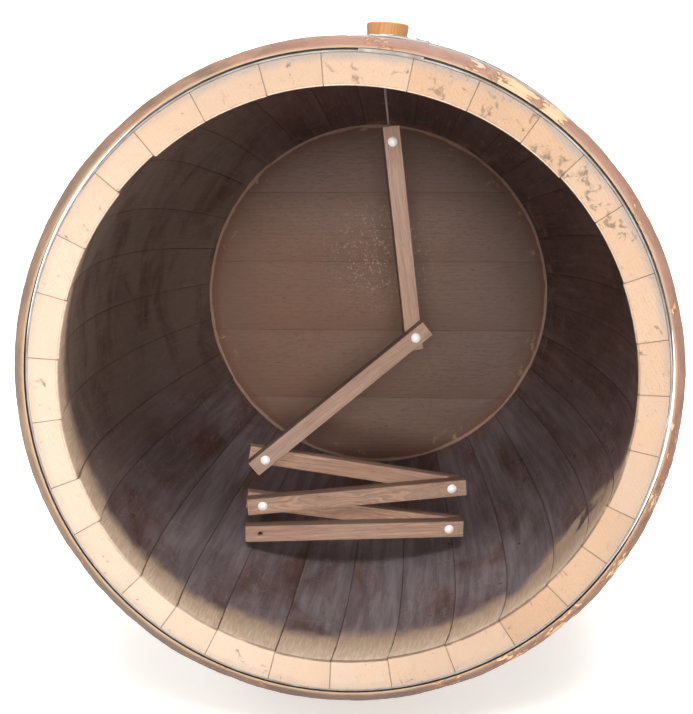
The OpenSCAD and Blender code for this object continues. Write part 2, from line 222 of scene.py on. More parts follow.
class Graph:
    """Adds nodes to a tree, setting and joining their inputs by name or number."""

    def __init__(self, tree):
        self.tree = tree
        tree.nodes.clear()

    def node(self, kind, inputs=None, **settings):
        made = self.tree.nodes.new(kind)
        for name, value in settings.items():
            setattr(made, name, value)
        for key, value in (inputs or {}).items():
            self.join(value, made.inputs[key])
        return made

    def join(self, value, socket):
        if isinstance(value, bpy.types.NodeSocket):
            self.tree.links.new(value, socket)
        elif socket.type == "RGBA" and len(value) == 3:
            socket.default_value = (*value, 1.0)
        else:
            socket.default_value = value

    def math(self, operation, a, b=0.0, c=0.0, clamp=False):
        made = self.node("ShaderNodeMath", operation=operation, use_clamp=clamp)
        for socket, value in zip(made.inputs, (a, b, c)):
            self.join(value, socket)
        return made.outputs[0]

    def blend(self, factor, a, b):
        """Colour a where the factor is 0, b where it is 1."""
        made = self.node("ShaderNodeMix", {0: factor, 6: a, 7: b},
                         data_type="RGBA", clamp_factor=True)
        return made.outputs[2]

    def lay(self, base, colour, mask, amount=None):
        """Lays a colour over the base where the mask says, as strong as amount."""
        factor = mask if amount is None else self.math("MULTIPLY", mask, amount)
        return self.blend(factor, base, colour)

    def step(self, value, low, high, to_low=0.0, to_high=1.0):
        """Smooth change from to_low to to_high as value goes from low to high."""
        made = self.node("ShaderNodeMapRange", interpolation_type="SMOOTHSTEP")
        for socket, number in zip(made.inputs, (value, low, high, to_low, to_high)):
            self.join(number, socket)
        return made.outputs[0]

    def noise(self, vector, scale, detail=3.0, roughness=0.55, distortion=0.0):
        made = self.node("ShaderNodeTexNoise", {
            "Vector": vector, "Scale": scale, "Detail": detail,
            "Roughness": roughness, "Distortion": distortion,
        })
        return made.outputs[0]

    def cells(self, vector, scale, feature="F1"):
        made = self.node("ShaderNodeTexVoronoi", {"Vector": vector, "Scale": scale},
                         feature=feature)
        return made.outputs[0]

    def distance(self, vector, point):
        made = self.node("ShaderNodeVectorMath", {0: vector, 1: point}, operation="DISTANCE")
        return made.outputs["Value"]

    def stretch(self, vector, scale, location=(0.0, 0.0, 0.0), rotation=(0.0, 0.0, 0.0)):
        made = self.node("ShaderNodeMapping", {
            "Vector": vector, "Location": location, "Rotation": rotation, "Scale": scale,
        })
        return made.outputs[0]

    def place(self):
        return self.node("ShaderNodeTexCoord").outputs["Object"]

    def attribute(self, name, output="Vector"):
        return self.node("ShaderNodeAttribute", attribute_name=name).outputs[output]

    def parts(self, vector):
        return self.node("ShaderNodeSeparateXYZ", {0: vector}).outputs

    def group(self, tree, **inputs):
        made = self.node("ShaderNodeGroup", node_tree=tree)
        for name, value in inputs.items():
            self.join(value, made.inputs[name.replace("_", " ")])
        return made.outputs

    def patches(self, vector, scale, cover, edge):
        return self.group(once("Blotches", blotches), Vector=vector, Scale=scale,
                          Cover=cover, Edge=edge)[0]

    def fibres(self, vector, fibre_scale, ring_scale, waviness):
        return self.group(once("Wood fibre", wood_fibre), Vector=vector,
                          Fibre_Scale=fibre_scale, Ring_Scale=ring_scale, Waviness=waviness)

    def bump(self, height, distance, strength=1.0):
        made = self.node("ShaderNodeBump", {
            "Height": height, "Distance": distance, "Strength": strength,
        })
        return made.outputs[0]

    def surface(self, **inputs):
        """The Principled surface; underscores in names stand for spaces."""
        shader = self.node("ShaderNodeBsdfPrincipled")
        for name, value in inputs.items():
            self.join(value, shader.inputs[name.replace("_", " ")])
        self.node("ShaderNodeOutputMaterial", {"Surface": shader.outputs[0]})


class BarrelGraph(Graph):
    """A graph whose patterns know their place on the barrel."""

    def __init__(self, tree):
        super().__init__(tree)
        self.spot = self.place()
        self.x, self.y, self.z = self.parts(self.spot)[:3]
        self.up = self.math("SUBTRACT", self.z, AXIS_HEIGHT)
        squares = self.math("ADD", self.math("MULTIPLY", self.x, self.x),
                            self.math("MULTIPLY", self.up, self.up))
        self.radius = self.math("SQRT", squares)
        self.turn = self.math("ARCTAN2", self.up, self.x)

    def facing(self, angle):
        """Cosine of the turn away from an angle round the barrel, in degrees."""
        return self.math("COSINE", self.math("SUBTRACT", self.turn, math.radians(angle)))

    def near(self, angle, width):
        """1 at an angle round the barrel, 0 from width degrees away."""
        return self.step(self.facing(angle), math.cos(math.radians(width)), 1.0)


def effect(name, inputs, outputs):
    """A new node group with named inputs and outputs, and its graph."""
    tree = bpy.data.node_groups.new(name, "ShaderNodeTree")
    for socket, kind, default in inputs:
        made = tree.interface.new_socket(socket, in_out="INPUT", socket_type=kind)
        if default is not None:
            made.default_value = default
    for socket, kind in outputs:
        tree.interface.new_socket(socket, in_out="OUTPUT", socket_type=kind)
    graph = Graph(tree)
    source = graph.node("NodeGroupInput").outputs
    sink = graph.node("NodeGroupOutput")
    return tree, graph, source, sink


def once(name, build):
    """The node group of that name, built the first time it is asked for."""
    return bpy.data.node_groups.get(name) or build(name)


def wood_fibre(name="Wood fibre"):
    """Fibres, growth rings and pores along the third axis of Vector."""
    tree, g, source, sink = effect(
        name,
        [
            ("Vector", "NodeSocketVector", None),
            ("Fibre Scale", "NodeSocketFloat", 700.0),
            ("Ring Scale", "NodeSocketFloat", 260.0),
            ("Waviness", "NodeSocketFloat", 0.004),
        ],
        [("Fibre", "NodeSocketFloat"), ("Rings", "NodeSocketFloat"), ("Pores", "NodeSocketFloat")],
    )
    along = g.stretch(source["Vector"], (1.0, 1.0, 0.035))
    fibre = g.noise(along, source["Fibre Scale"], 4.0, 0.6)
    slow = g.noise(g.stretch(source["Vector"], (1.0, 1.0, 0.18)), 14.0, 2.0, 0.5)
    wander = g.math("MULTIPLY", g.math("SUBTRACT", slow, 0.5), source["Waviness"])
    across = g.parts(source["Vector"])[0]
    bands = g.math("MULTIPLY", g.math("ADD", across, wander), source["Ring Scale"])
    wave = g.math("SINE", g.math("MULTIPLY", bands, FULL_TURN))
    rings = g.math("POWER", g.math("MULTIPLY_ADD", wave, 0.5, 0.5), 1.7)
    pores = g.noise(g.stretch(source["Vector"], (1.0, 1.0, 0.06)), 1700.0, 2.0, 0.5)
    g.join(fibre, sink.inputs["Fibre"])
    g.join(rings, sink.inputs["Rings"])
    g.join(g.step(pores, 0.60, 0.72), sink.inputs["Pores"])
    return tree


def blotches(name="Blotches"):
    """Uneven patches: Cover is the share that they take, Edge how soft they are."""
    tree, g, source, sink = effect(
        name,
        [
            ("Vector", "NodeSocketVector", None),
            ("Scale", "NodeSocketFloat", 20.0),
            ("Cover", "NodeSocketFloat", 0.4),
            ("Edge", "NodeSocketFloat", 0.1),
        ],
        [("Mask", "NodeSocketFloat")],
    )
    field = g.noise(source["Vector"], source["Scale"], 5.0, 0.62, 0.6)
    level = g.math("SUBTRACT", 0.72, g.math("MULTIPLY", source["Cover"], 0.44))
    low = g.math("SUBTRACT", level, source["Edge"])
    g.join(g.step(field, low, g.math("ADD", level, source["Edge"])), sink.inputs["Mask"])
    return tree


def scratches(name="Scratches"):
    """A net of thin lines, long along the third axis of Vector."""
    tree, g, source, sink = effect(
        name,
        [
            ("Vector", "NodeSocketVector", None),
            ("Scale", "NodeSocketFloat", 30.0),
            ("Width", "NodeSocketFloat", 0.03),
        ],
        [("Mask", "NodeSocketFloat")],
    )
    warp = g.node("ShaderNodeTexNoise", {
        "Vector": source["Vector"], "Scale": 18.0, "Detail": 3.0,
    })
    pull = g.node("ShaderNodeVectorMath", {0: warp.outputs["Color"], 1: (0.05, 0.05, 0.05)},
                  operation="MULTIPLY").outputs[0]
    bent = g.node("ShaderNodeVectorMath", {0: source["Vector"], 1: pull}).outputs[0]
    cell = g.cells(g.stretch(bent, (1.0, 1.0, 0.3)), source["Scale"], "DISTANCE_TO_EDGE")
    line = g.step(cell, 0.0, source["Width"], 1.0, 0.0)
    broken = g.step(g.noise(source["Vector"], 26.0, 3.0), 0.46, 0.62)
    g.join(g.math("MULTIPLY", line, broken), sink.inputs["Mask"])
    return tree


def new_material(name, display, kind=Graph):
    """An empty node material, and its graph."""
    material = bpy.data.materials.new(name)
    material.diffuse_color = (*display, 1.0)
    material.use_nodes = True
    return material, kind(material.node_tree)


def dress(piece, material):
    """Puts the one material on a piece."""
    piece.data.materials.clear()
    piece.data.materials.append(material)


# Modelling helpers


def pick(piece):
    """Selects the piece alone and makes it the active one."""
    bpy.ops.object.select_all(action="DESELECT")
    piece.select_set(True)
    bpy.context.view_layer.objects.active = piece


def edit(piece):
    """Opens the piece alone in edit mode, with all of it selected."""
    pick(piece)
    bpy.ops.object.mode_set(mode="EDIT")
    bpy.ops.mesh.select_mode(type="VERT")
    bpy.ops.mesh.select_all(action="SELECT")


def leave():
    bpy.ops.object.mode_set(mode="OBJECT")


def outline_piece(name, points, closed=True):
    """A new piece that is a line of points."""
    mesh = bpy.data.meshes.new(name)
    count = len(points)
    edges = [(i, i + 1) for i in range(count - 1)] + ([(count - 1, 0)] if closed else [])
    mesh.from_pydata(points, edges, [])
    piece = bpy.data.objects.new(name, mesh)
    bpy.context.scene.collection.objects.link(piece)
    return piece


def spin(piece, angle, steps, centre, axis):
    """Spins the piece's outline into a closed skin with its faces outwards."""
    edit(piece)
    bpy.ops.mesh.spin(steps=steps, dupli=False, angle=angle, center=centre, axis=axis)
    bpy.ops.mesh.select_all(action="SELECT")
    bpy.ops.mesh.remove_doubles(threshold=1e-6)
    bpy.ops.mesh.select_all(action="SELECT")
    bpy.ops.mesh.fill_holes(sides=0)
    bpy.ops.mesh.select_all(action="SELECT")
    bpy.ops.mesh.normals_make_consistent(inside=False)
    leave()


def apply_modifiers(piece):
    pick(piece)
    for modifier in list(piece.modifiers):
        bpy.ops.object.modifier_apply(modifier=modifier.name)


def round_edges(piece, width, segments=2, limit=35.0):
    bevel = piece.modifiers.new("Arris", "BEVEL")
    bevel.width = width
    bevel.segments = segments
    bevel.limit_method = "ANGLE"
    bevel.angle_limit = math.radians(limit)
    apply_modifiers(piece)


def smooth(piece, angle=35.0):
    pick(piece)
    bpy.ops.object.shade_smooth_by_angle(angle=math.radians(angle))


def cut(piece, cutter):
    """Takes the cutter's shape out of the piece, and removes the cutter."""
    difference = piece.modifiers.new("Hole", "BOOLEAN")
    difference.operation = "DIFFERENCE"
    difference.solver = "EXACT"
    difference.object = cutter
    apply_modifiers(piece)
    bpy.data.objects.remove(cutter)


def record_vector(piece, name, value_of):
    """Stores a vector for each point of the piece, for its material to read."""
    attribute = piece.data.attributes.new(name, "FLOAT_VECTOR", "POINT")
    for index, vertex in enumerate(piece.data.vertices):
        attribute.data[index].vector = value_of(vertex.co)


def record_number(piece, name, value_of):
    """Stores a number for each point of the piece, for its material to read."""
    attribute = piece.data.attributes.new(name, "FLOAT", "POINT")
    for index, vertex in enumerate(piece.data.vertices):
        attribute.data[index].value = value_of(vertex.co)


def hand_in(piece, body, slot, *nodes):
    """The finished piece moves with its body and stands for its CAD nodes."""
    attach(piece, body)
    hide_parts(*nodes)


def angle_of(point):
    """Angle round the barrel, counter-clockwise from +X as seen from the open end."""
    return math.atan2(point.z - AXIS_HEIGHT, point.x)


def radius_of(point):
    return math.hypot(point.x, point.z - AXIS_HEIGHT)


def around(radius, angle, y):
    return (radius * math.cos(angle), y, AXIS_HEIGHT + radius * math.sin(angle))


def span_of(node):
    """First and last angle of a node's mesh that takes less than half a turn."""
    points = [v.co for v in NODES[node].data.vertices]
    middle = sum(points, Vector()) / len(points)
    centre = angle_of(middle)
    turns = [(angle_of(p) - centre + math.pi) % (2 * math.pi) - math.pi for p in points]
    return centre + min(turns), centre + max(turns)


def section_of(*nodes):
    """Radius and y of every corner of the nodes' meshes, each pair once."""
    return {
        (round(radius_of(v.co), 5), round(v.co.y, 5))
        for node in nodes for v in NODES[node].data.vertices
    }


def hull(points):
    """Corners of the convex outline round flat points, counter-clockwise."""
    points = sorted(set(points))

    def chain(ordered):
        kept = []
        for p in ordered:
            while len(kept) > 1 and (
                (kept[-1][0] - kept[-2][0]) * (p[1] - kept[-2][1])
                - (kept[-1][1] - kept[-2][1]) * (p[0] - kept[-2][0])
            ) <= 1e-12:
                kept.pop()
            kept.append(p)
        return kept[:-1]

    return chain(points) + chain(points[::-1])


def resample(points, spacing):
    """The closed outline with points no more than spacing apart, its corners kept."""
    result = []
    for a, b in zip(points, points[1:] + points[:1]):
        parts = max(1, round(math.dist(a, b) / spacing))
        result += [
            tuple(p + (q - p) * k / parts for p, q in zip(a, b)) for k in range(parts)
        ]
    return result


# Staves


def stave_outline(thinner):
    """Radius and y of points round a stave's section along the barrel."""
    count = 26  # steps along the stave
    ys = [HALF_LENGTH * (2 * k / count - 1) for k in range(count + 1)]
    groove = [HEAD_MIDDLE - GROOVE_WIDTH / 2, HEAD_MIDDLE + GROOVE_WIDTH / 2]
    outside = [(outer_at(y), y) for y in ys]

    def inside(y):
        taper = abs(y) / HALF_LENGTH
        return inner_at(y) + thinner * taper**4

    chamfered = HALF_LENGTH - RIM_CHAMFER
    inner_ys = [-chamfered] + [y for y in ys[1:-1] if y < groove[0] - 0.004]
    line = [(inside(-HALF_LENGTH) + RIM_CHAMFER, -HALF_LENGTH)]
    line += [(inside(y), y) for y in inner_ys]
    line += [(inside(groove[0]), groove[0]), (inner_at(groove[0]) + GROOVE_DEPTH, groove[0])]
    line += [(inner_at(groove[1]) + GROOVE_DEPTH, groove[1]), (inside(groove[1]), groove[1])]
    line += [(inside(chamfered), chamfered)]
    line += [(inside(HALF_LENGTH) + RIM_CHAMFER, HALF_LENGTH)]
    return line + outside[::-1]


def bung_frame():
    """The bung's axis: a point on the barrel's axis, and the way out."""
    return Vector((0.0, 0.0, AXIS_HEIGHT)), Vector(JOINTS["bung_pull"]["axis"]).normalized()


def turned_outline(node, origin, axis):
    """Outline of a turned piece from its mesh: (radius, place along its axis)."""
    points = []
    for vertex in NODES[node].data.vertices:
        along = (vertex.co - origin).dot(axis)
        radius = (vertex.co - origin - axis * along).length
        points.append((round(radius, 6), round(along, 6)))
    return hull(points + [(0.0, min(p[1] for p in points)), (0.0, max(p[1] for p in points))])


def bung_cutter(play):
    """A cone a little wider than the bung, past both faces of its stave."""
    origin, axis = bung_frame()
    outline = turned_outline("bung", origin, axis)
    low = min(p[1] for p in outline)
    wide = max(outline)
    narrow = max(p for p in outline if p[1] < low + 1e-5)
    slope = (wide[0] - narrow[0]) / (wide[1] - narrow[1])
    bottom, top = low - 0.02, wide[1]
    middle = origin + axis * (bottom + top) / 2
    bpy.ops.mesh.primitive_cone_add(
        vertices=96,
        radius1=narrow[0] + play + slope * (bottom - narrow[1]),
        radius2=wide[0] + play,
        depth=top - bottom,
        location=middle,
        rotation=axis.to_track_quat("Z", "Y").to_euler(),
    )
    return bpy.context.active_object


# Colours of the sawn stave ends.
RAY_TAN = (0.40, 0.27, 0.175)
RING_TAN = (0.36, 0.24, 0.16)
CLOUDED_TAN = (0.41, 0.265, 0.165)
LIT_CREAM = (0.555, 0.455, 0.370)
WEATHERED_GREY = (0.25, 0.215, 0.19)
SMUDGE = (0.110, 0.070, 0.048)
CHECK_BROWN = (0.09, 0.055, 0.035)


def sawn_end(g, wood, grain, seed, fresh):
    """Cream to tan from stave to stave, with growth lines, rays, smudges, checks and painted light on the left."""
    warm = (fresh.x * 0.95, fresh.y * 0.88, fresh.z * 0.82)
    pale = (min(fresh.x * 1.06, 1), min(fresh.y * 1.12, 1), min(fresh.z * 1.24, 1))
    sawn = g.blend(seed, warm, pale)
    flat = g.node("ShaderNodeCombineXYZ", {0: g.parts(grain)[0], 1: g.parts(grain)[1]}).outputs[0]
    rays = g.noise(g.stretch(flat, (1.0, 0.22, 1.0)), 900.0, 3.0, 0.6)
    sawn = g.lay(sawn, RAY_TAN, g.step(rays, 0.35, 0.75, 0.0, 0.34))
    sawn = g.lay(sawn, RING_TAN, wood["Rings"], 0.04)
    sawn = g.lay(sawn, CLOUDED_TAN, g.patches(g.spot, 9.0, 0.45, 0.12), 0.42)
    # Painted light: the rim's left side, where the light falls, is laid paler and creamier.
    sawn = g.lay(sawn, LIT_CREAM, g.near(205.0, 100.0), 0.55)
    # The outer edge has weathered grey, most of all at the upper right.
    outer_edge = g.math("ADD", g.radius, g.math("MULTIPLY", g.noise(g.spot, 30.0), 0.010))
    grey = g.math("MULTIPLY", g.step(outer_edge, 0.2845, 0.2935), 0.90)
    upper_right = g.math("ADD", g.near(65.0, 75.0), 0.35, clamp=True)
    sawn = g.blend(g.math("MULTIPLY", grey, upper_right), sawn, WEATHERED_GREY)
    cover = g.math("MULTIPLY_ADD", g.near(58.0, 60.0), 0.17, 0.10)
    smudges = g.patches(g.stretch(g.spot, (1.0, 1.0, 1.0), (0.31, 0.2, 0.77)), 96.0, cover, 0.06)
    smudges = g.math("MULTIPLY", smudges, g.patches(g.spot, 13.0, 0.66, 0.08))
    sawn = g.lay(sawn, SMUDGE, smudges, 0.78)
    checks = g.noise(g.stretch(flat, (1.0, 0.10, 1.0), (3.1, 1.7, 0.0)), 620.0, 1.0, 0.4)
    checks = g.math("MULTIPLY", g.step(checks, 0.76, 0.80), g.patches(g.spot, 28.0, 0.25, 0.05))
    return g.lay(sawn, CHECK_BROWN, checks, 0.75)


def toast_mask(g, grain, seed, toast_start):
    """1 where the inside is charred: a ragged edge behind the rim, up to the head."""
    depth = g.math("ADD", g.y, HALF_LENGTH)
    ragged = g.noise(g.stretch(grain, (1.0, 1.0, 0.30)), 42.0, 5.0, 0.65)
    start = g.math("MULTIPLY_ADD", g.math("SUBTRACT", ragged, 0.5), 0.085, toast_start)
    start = g.math("MULTIPLY_ADD", g.math("SUBTRACT", seed, 0.5), 0.035, start)
    flaked = g.patches(g.stretch(g.spot, (1.0, 0.6, 1.0)), 19.0, 0.72, 0.10)
    flaked = g.math("MULTIPLY", g.near(322.0, 17.0), flaked)
    start = g.math("MULTIPLY_ADD", flaked, 0.11, start)
    start = g.math("MULTIPLY_ADD", g.near(205.0, 58.0), -0.036, start)
    toast = g.step(g.math("SUBTRACT", depth, start), -0.035, 0.03)
    behind_head = g.step(g.y, HEAD_MIDDLE, HEAD_MIDDLE + 0.002)
    return g.math("MULTIPLY", toast, g.math("SUBTRACT", 1.0, behind_head))


# Colours of the inside: bare wood by the rim, then char, wine stains and scuffs.
BARE_DARK, BARE_PALE = (0.76, 0.57, 0.42), (0.97, 0.80, 0.63)
BARE_DEEP = (0.42, 0.27, 0.18)
SOAKED = (0.050, 0.026, 0.028)
LEES_RED = (0.150, 0.058, 0.044)
ASH_SHEEN_DARK, ASH_SHEEN_PALE = (0.215, 0.182, 0.205), (0.350, 0.308, 0.345)
DRY_OLIVE = (0.330, 0.272, 0.228)
SCRATCHED = (0.40, 0.34, 0.31)
SCUFFED = (0.34, 0.29, 0.27)
TARTRATE = (0.62, 0.56, 0.51)
PITTED = (0.030, 0.018, 0.016)
CRUST = (0.365, 0.240, 0.170)


def stave_lining(g, wood, grain, toast, net, char):
    """Bare tan wood behind the rim, then charred, stained, scratched and pitted."""
    depth = g.math("ADD", g.y, HALF_LENGTH)
    bare = g.blend(g.step(wood["Fibre"], 0.3, 0.75), BARE_DARK, BARE_PALE)
    bare = g.lay(bare, BARE_DEEP, g.step(depth, 0.03, 0.16), 0.50)
    streak = g.noise(g.stretch(grain, (1.0, 1.0, 0.05), (0.7, 0.0, 0.3)), 85.0, 5.0, 0.62)
    dark = g.blend(g.step(streak, 0.32, 0.70), tuple(char * 0.76), tuple(char * 1.62))
    mottle = g.noise(g.stretch(g.spot, (1.0, 0.7, 1.0), (0.5, 0.1, 0.8)), 46.0, 5.0, 0.66)
    dark = g.lay(dark, tuple(char * 1.75), g.step(mottle, 0.40, 0.66, 0.0, 0.42))
    dark = g.lay(dark, tuple(char * 0.45), g.step(mottle, 0.46, 0.30, 0.0, 0.45))
    cover = g.math("MULTIPLY_ADD", g.near(205.0, 34.0), 0.35, 0.44)
    soaked = g.patches(g.stretch(g.spot, (1.0, 0.55, 1.0), (0.2, 0.6, 0.1)), 8.0, cover, 0.10)
    dark = g.lay(dark, SOAKED, soaked, 0.66)
    dark = g.lay(dark, tuple(char * 0.35), g.step(wood["Fibre"], 0.45, 0.30, 0.0, 0.55))
    dark = g.lay(dark, LEES_RED, g.patches(g.stretch(grain, (1.0, 1.0, 0.35)), 17.0, 0.42, 0.12),
                 0.60)
    # Ash and dried lees lie along the bottom; their bluish grey is partly a painted sheen where the bottom faces
    # up.
    low = g.step(g.math("DIVIDE", g.up, g.radius), 0.05, -0.90)
    ash_and_sheen = g.patches(g.stretch(grain, (1.0, 1.0, 0.28), (0.4, 0.0, 0.9)), 11.0, 0.66, 0.16)
    ash_and_sheen = g.math("MULTIPLY", g.math("MULTIPLY_ADD", low, 0.85, 0.14), ash_and_sheen)
    dark = g.blend(ash_and_sheen, dark, g.blend(g.step(streak, 0.36, 0.66), ASH_SHEEN_DARK, ASH_SHEEN_PALE))
    olive = g.math("MULTIPLY", g.near(164.0, 52.0), g.patches(g.spot, 11.0, 0.66, 0.14))
    dark = g.lay(dark, DRY_OLIVE, olive, 0.80)
    dark = g.lay(dark, SCRATCHED, net, 0.42)
    scuffs = g.noise(g.stretch(grain, (1.0, 1.0, 0.05), (0.0, 0.0, 2.0)), 300.0, 2.0, 0.5)
    dark = g.lay(dark, SCUFFED, g.step(scuffs, 0.62, 0.72, 0.0, 0.42))
    dark = g.lay(dark, TARTRATE, g.step(g.noise(g.spot, 420.0, 1.0, 0.4), 0.745, 0.775), 0.6)
    pits = g.noise(g.stretch(g.spot, (1.0, 0.6, 1.0), (0.9, 0.1, 0.4)), 62.0, 2.0)
    pits = g.math("MULTIPLY", g.step(pits, 0.70, 0.76),
                  g.math("ADD", g.near(318.0, 50.0), 0.2, clamp=True))
    dark = g.lay(dark, PITTED, pits, 0.85)
    beside_head = g.math("MULTIPLY", g.step(g.y, 0.375, 0.418), g.patches(g.spot, 27.0, 0.36, 0.05))
    dark = g.lay(dark, CRUST, beside_head, 0.75)
    return g.blend(toast, bare, dark)


# Colours of the outside.
OUTSIDE_TAN = (0.33, 0.24, 0.155)
OUTSIDE_DIRT = (0.150, 0.118, 0.092)
SPILT_WINE = (0.115, 0.035, 0.045)
HOOP_DIRT = (0.085, 0.065, 0.050)

# How dirty the outside is at a distance from mid length: the bands beside the hoops.
HOOP_DIRT_STOPS = (
    (0.132, 0), (0.143, 1), (0.187, 1), (0.198, 0), (0.292, 0), (0.301, 1),
    (0.339, 1), (0.350, 0), (0.420, 0), (0.430, 1), (0.456, 0),
)


def stave_outside(g, wood, grain, seed, outer):
    """Weathered, with wine spilt round the bung, and dirtier beside the hoops."""
    skin = g.blend(wood["Fibre"], tuple(outer * 0.62), tuple(outer * 1.30))
    skin = g.lay(skin, OUTSIDE_TAN, seed, 0.45)
    skin = g.lay(skin, tuple(outer * 0.55), wood["Rings"], 0.25)
    dirty = g.patches(g.stretch(grain, (1, 1, 0.3)), 10.0, 0.45, 0.15)
    skin = g.lay(skin, OUTSIDE_DIRT, dirty, 0.45)
    from_bung = g.distance(g.spot, (0.03, 0.0, 0.68))
    spill = g.step(g.math("MULTIPLY_ADD", g.noise(g.spot, 16.0, 4.0), 0.14, from_bung), 0.20, 0.11)
    skin = g.lay(skin, SPILT_WINE, spill, 0.65)
    beside = g.node("ShaderNodeValToRGB", {0: g.math("ABSOLUTE", g.y)})
    stops = beside.color_ramp.elements
    (first, tone), *between, (last, end_tone) = HOOP_DIRT_STOPS
    stops[0].position, stops[1].position = first, last
    stops[0].color, stops[1].color = (tone, tone, tone, 1), (end_tone, end_tone, end_tone, 1)
    for position, tone in between:
        stops.new(position).color = (tone, tone, tone, 1)
    rim_dirt = g.math("MULTIPLY", beside.outputs[0], g.noise(g.spot, 60.0, 4.0))
    return g.blend(rim_dirt, skin, HOOP_DIRT)


MID_WALL_RADIUS = 0.3318  # at mid length
MID_WALL_FALL = 0.058  # from there to the ends
ARRIS_LINE = (0.095, 0.050, 0.028)
JOINT_DIRT = (0.085, 0.050, 0.034)


def stave_material(settings):
    """Oak that is sawn at the ends, charred inside and weathered outside."""
    material, g = new_material("Stave oak", settings.fresh_oak, BarrelGraph)
    # The inside is what lies within the surface halfway through the wall.
    far = g.math("DIVIDE", g.y, HALF_LENGTH)
    fall = g.math("MULTIPLY", g.math("MULTIPLY", far, far), MID_WALL_FALL)
    mid_wall = g.math("SUBTRACT", MID_WALL_RADIUS, fall)
    inside = g.step(g.math("SUBTRACT", mid_wall, g.radius), -0.003, 0.003)
    end = g.step(g.math("ABSOLUTE", g.y), HALF_LENGTH - 0.0009, HALF_LENGTH - 0.0002)
    grain = g.attribute("grain")
    seed = g.attribute("seed", "Fac")
    wood = g.fibres(grain, 520.0, 300.0, 0.006)
    net = g.group(once("Scratches", scratches), Vector=grain, Scale=34.0, Width=0.035)[0]
    toast = toast_mask(g, grain, seed, settings.toast_start)

    lining = stave_lining(g, wood, grain, toast, net, Vector(settings.toasted_oak))
    skin = stave_outside(g, wood, grain, seed, Vector(settings.weathered_oak))
    sawn = sawn_end(g, wood, grain, seed, Vector(settings.fresh_oak))
    colour = g.blend(end, g.blend(inside, skin, lining), sawn)
    # A dark line runs along the arris inside the rim, strongest at the lower right, and the joints between staves
    # hold dirt.
    from_arris = g.math("MULTIPLY_ADD", g.noise(g.spot, 45.0, 3.0), 0.0016,
                        g.attribute("arris", "Fac"))
    arris_strength = g.math("MULTIPLY_ADD", g.near(300.0, 110.0), 0.60, 0.28)
    colour = g.lay(colour, ARRIS_LINE, g.step(from_arris, 0.0026, 0.0015), arris_strength)
    from_joint = g.math("MULTIPLY_ADD", g.noise(g.spot, 24.0, 3.0), -0.0014,
                        g.attribute("joint", "Fac"))
    held = g.math("MULTIPLY_ADD", g.math("MULTIPLY", toast, inside), -0.35, 0.75)
    held = g.math("MULTIPLY_ADD", end, -0.52, held)
    colour = g.lay(colour, JOINT_DIRT, g.step(from_joint, 0.0003, -0.0005), held)

    rough = g.step(g.math("MULTIPLY", toast, inside), 0.0, 1.0, 0.78, 0.52)
    rough = g.math("MULTIPLY_ADD", g.math("SUBTRACT", wood["Fibre"], 0.5), 0.35, rough)
    relief = g.math("MULTIPLY_ADD", wood["Pores"], -0.6, wood["Fibre"])
    relief = g.math("MULTIPLY_ADD", net, 0.5, relief)
    askew = g.parts(g.stretch(g.spot, (1, 1, 1), rotation=(0, 0.5, 0)))[0]
    saw_marks = g.math("MULTIPLY", g.math("SINE", g.math("MULTIPLY", askew, 1900.0)), end)
    relief = g.math("MULTIPLY_ADD", saw_marks, 0.06, relief)
    g.surface(Base_Color=colour, Roughness=rough, Normal=g.bump(relief, 0.0006, 0.8),
              Specular_IOR_Level=0.42)
    return material


STAVE_STEP = 1.5  # degrees of a stave's spin to a face


class BARREL_OT_staves(bpy.types.Operator):
    """Spin each stave from its section, round its arrises and finish its oak"""

    bl_idname = "barrel.staves"
    bl_label = "Oak staves"
    bl_options = {"REGISTER", "UNDO"}

    def execute(self, context):
        settings = context.scene.barrel_staves
        material = stave_material(settings)
        for number, node in enumerate(STAVES):
            chance = random.Random(number + 11)
            first, last = span_of(node)
            outline = stave_outline(chance.random() ** 2 * settings.thickness_scatter)
            piece = outline_piece(
                node + "_oak", [around(radius, first, y) for radius, y in outline]
            )
            steps = max(4, round(math.degrees(last - first) / STAVE_STEP))
            spin(piece, last - first, steps, (0, 0, AXIS_HEIGHT), (0, 1, 0))
            if node == "bung_stave":
                cut(piece, bung_cutter(0.0003))
            round_edges(piece, settings.edge_rounding)
            smooth(piece)
            middle, half = (first + last) / 2, (last - first) / 2
            offset = chance.random() * 7

            def turn_of(co, middle=middle):
                return (angle_of(co) - middle + math.pi) % (2 * math.pi) - math.pi

            record_vector(piece, "grain", lambda co: (
                radius_of(co) * turn_of(co) + offset, outer_at(co.y) - radius_of(co),
                co.y + offset))
            record_number(piece, "joint", lambda co: radius_of(co) * (half - abs(turn_of(co))))
            tone = chance.random()
            record_number(piece, "seed", lambda co: tone)
            front = (outline[0][0] - RIM_CHAMFER / 2, RIM_CHAMFER / 2 - HALF_LENGTH)
            record_number(piece, "arris", lambda co: math.hypot(
                radius_of(co) - front[0], co.y - front[1]))
            dress(piece, material)
            hand_in(piece, "barrel", "stave_oak", node)
        return {"FINISHED"}


# Head


# Colours of the head.
HEAD_LIGHT_POOL = (0.300, 0.155, 0.095)
HEAD_SHADE_RIGHT = (0.130, 0.090, 0.074)
HEAD_SHADE_TOP = (0.130, 0.094, 0.082)
DRIED_GREY = (0.190, 0.132, 0.104)
HEAD_GLINTS = (0.55, 0.42, 0.35)
GROOVE_BAND = (0.215, 0.105, 0.074)
GROOVE_EDGE = (0.46, 0.31, 0.24)
GROOVE_FLECKS = (0.44, 0.30, 0.21)
OUTER_DARK, OUTER_PALE = (0.22, 0.150, 0.095), (0.39, 0.28, 0.180)
OUTER_RINGS = (0.19, 0.125, 0.075)
OUTER_GREY = (0.185, 0.148, 0.115)
SEAM_DIRT = (0.085, 0.052, 0.040)


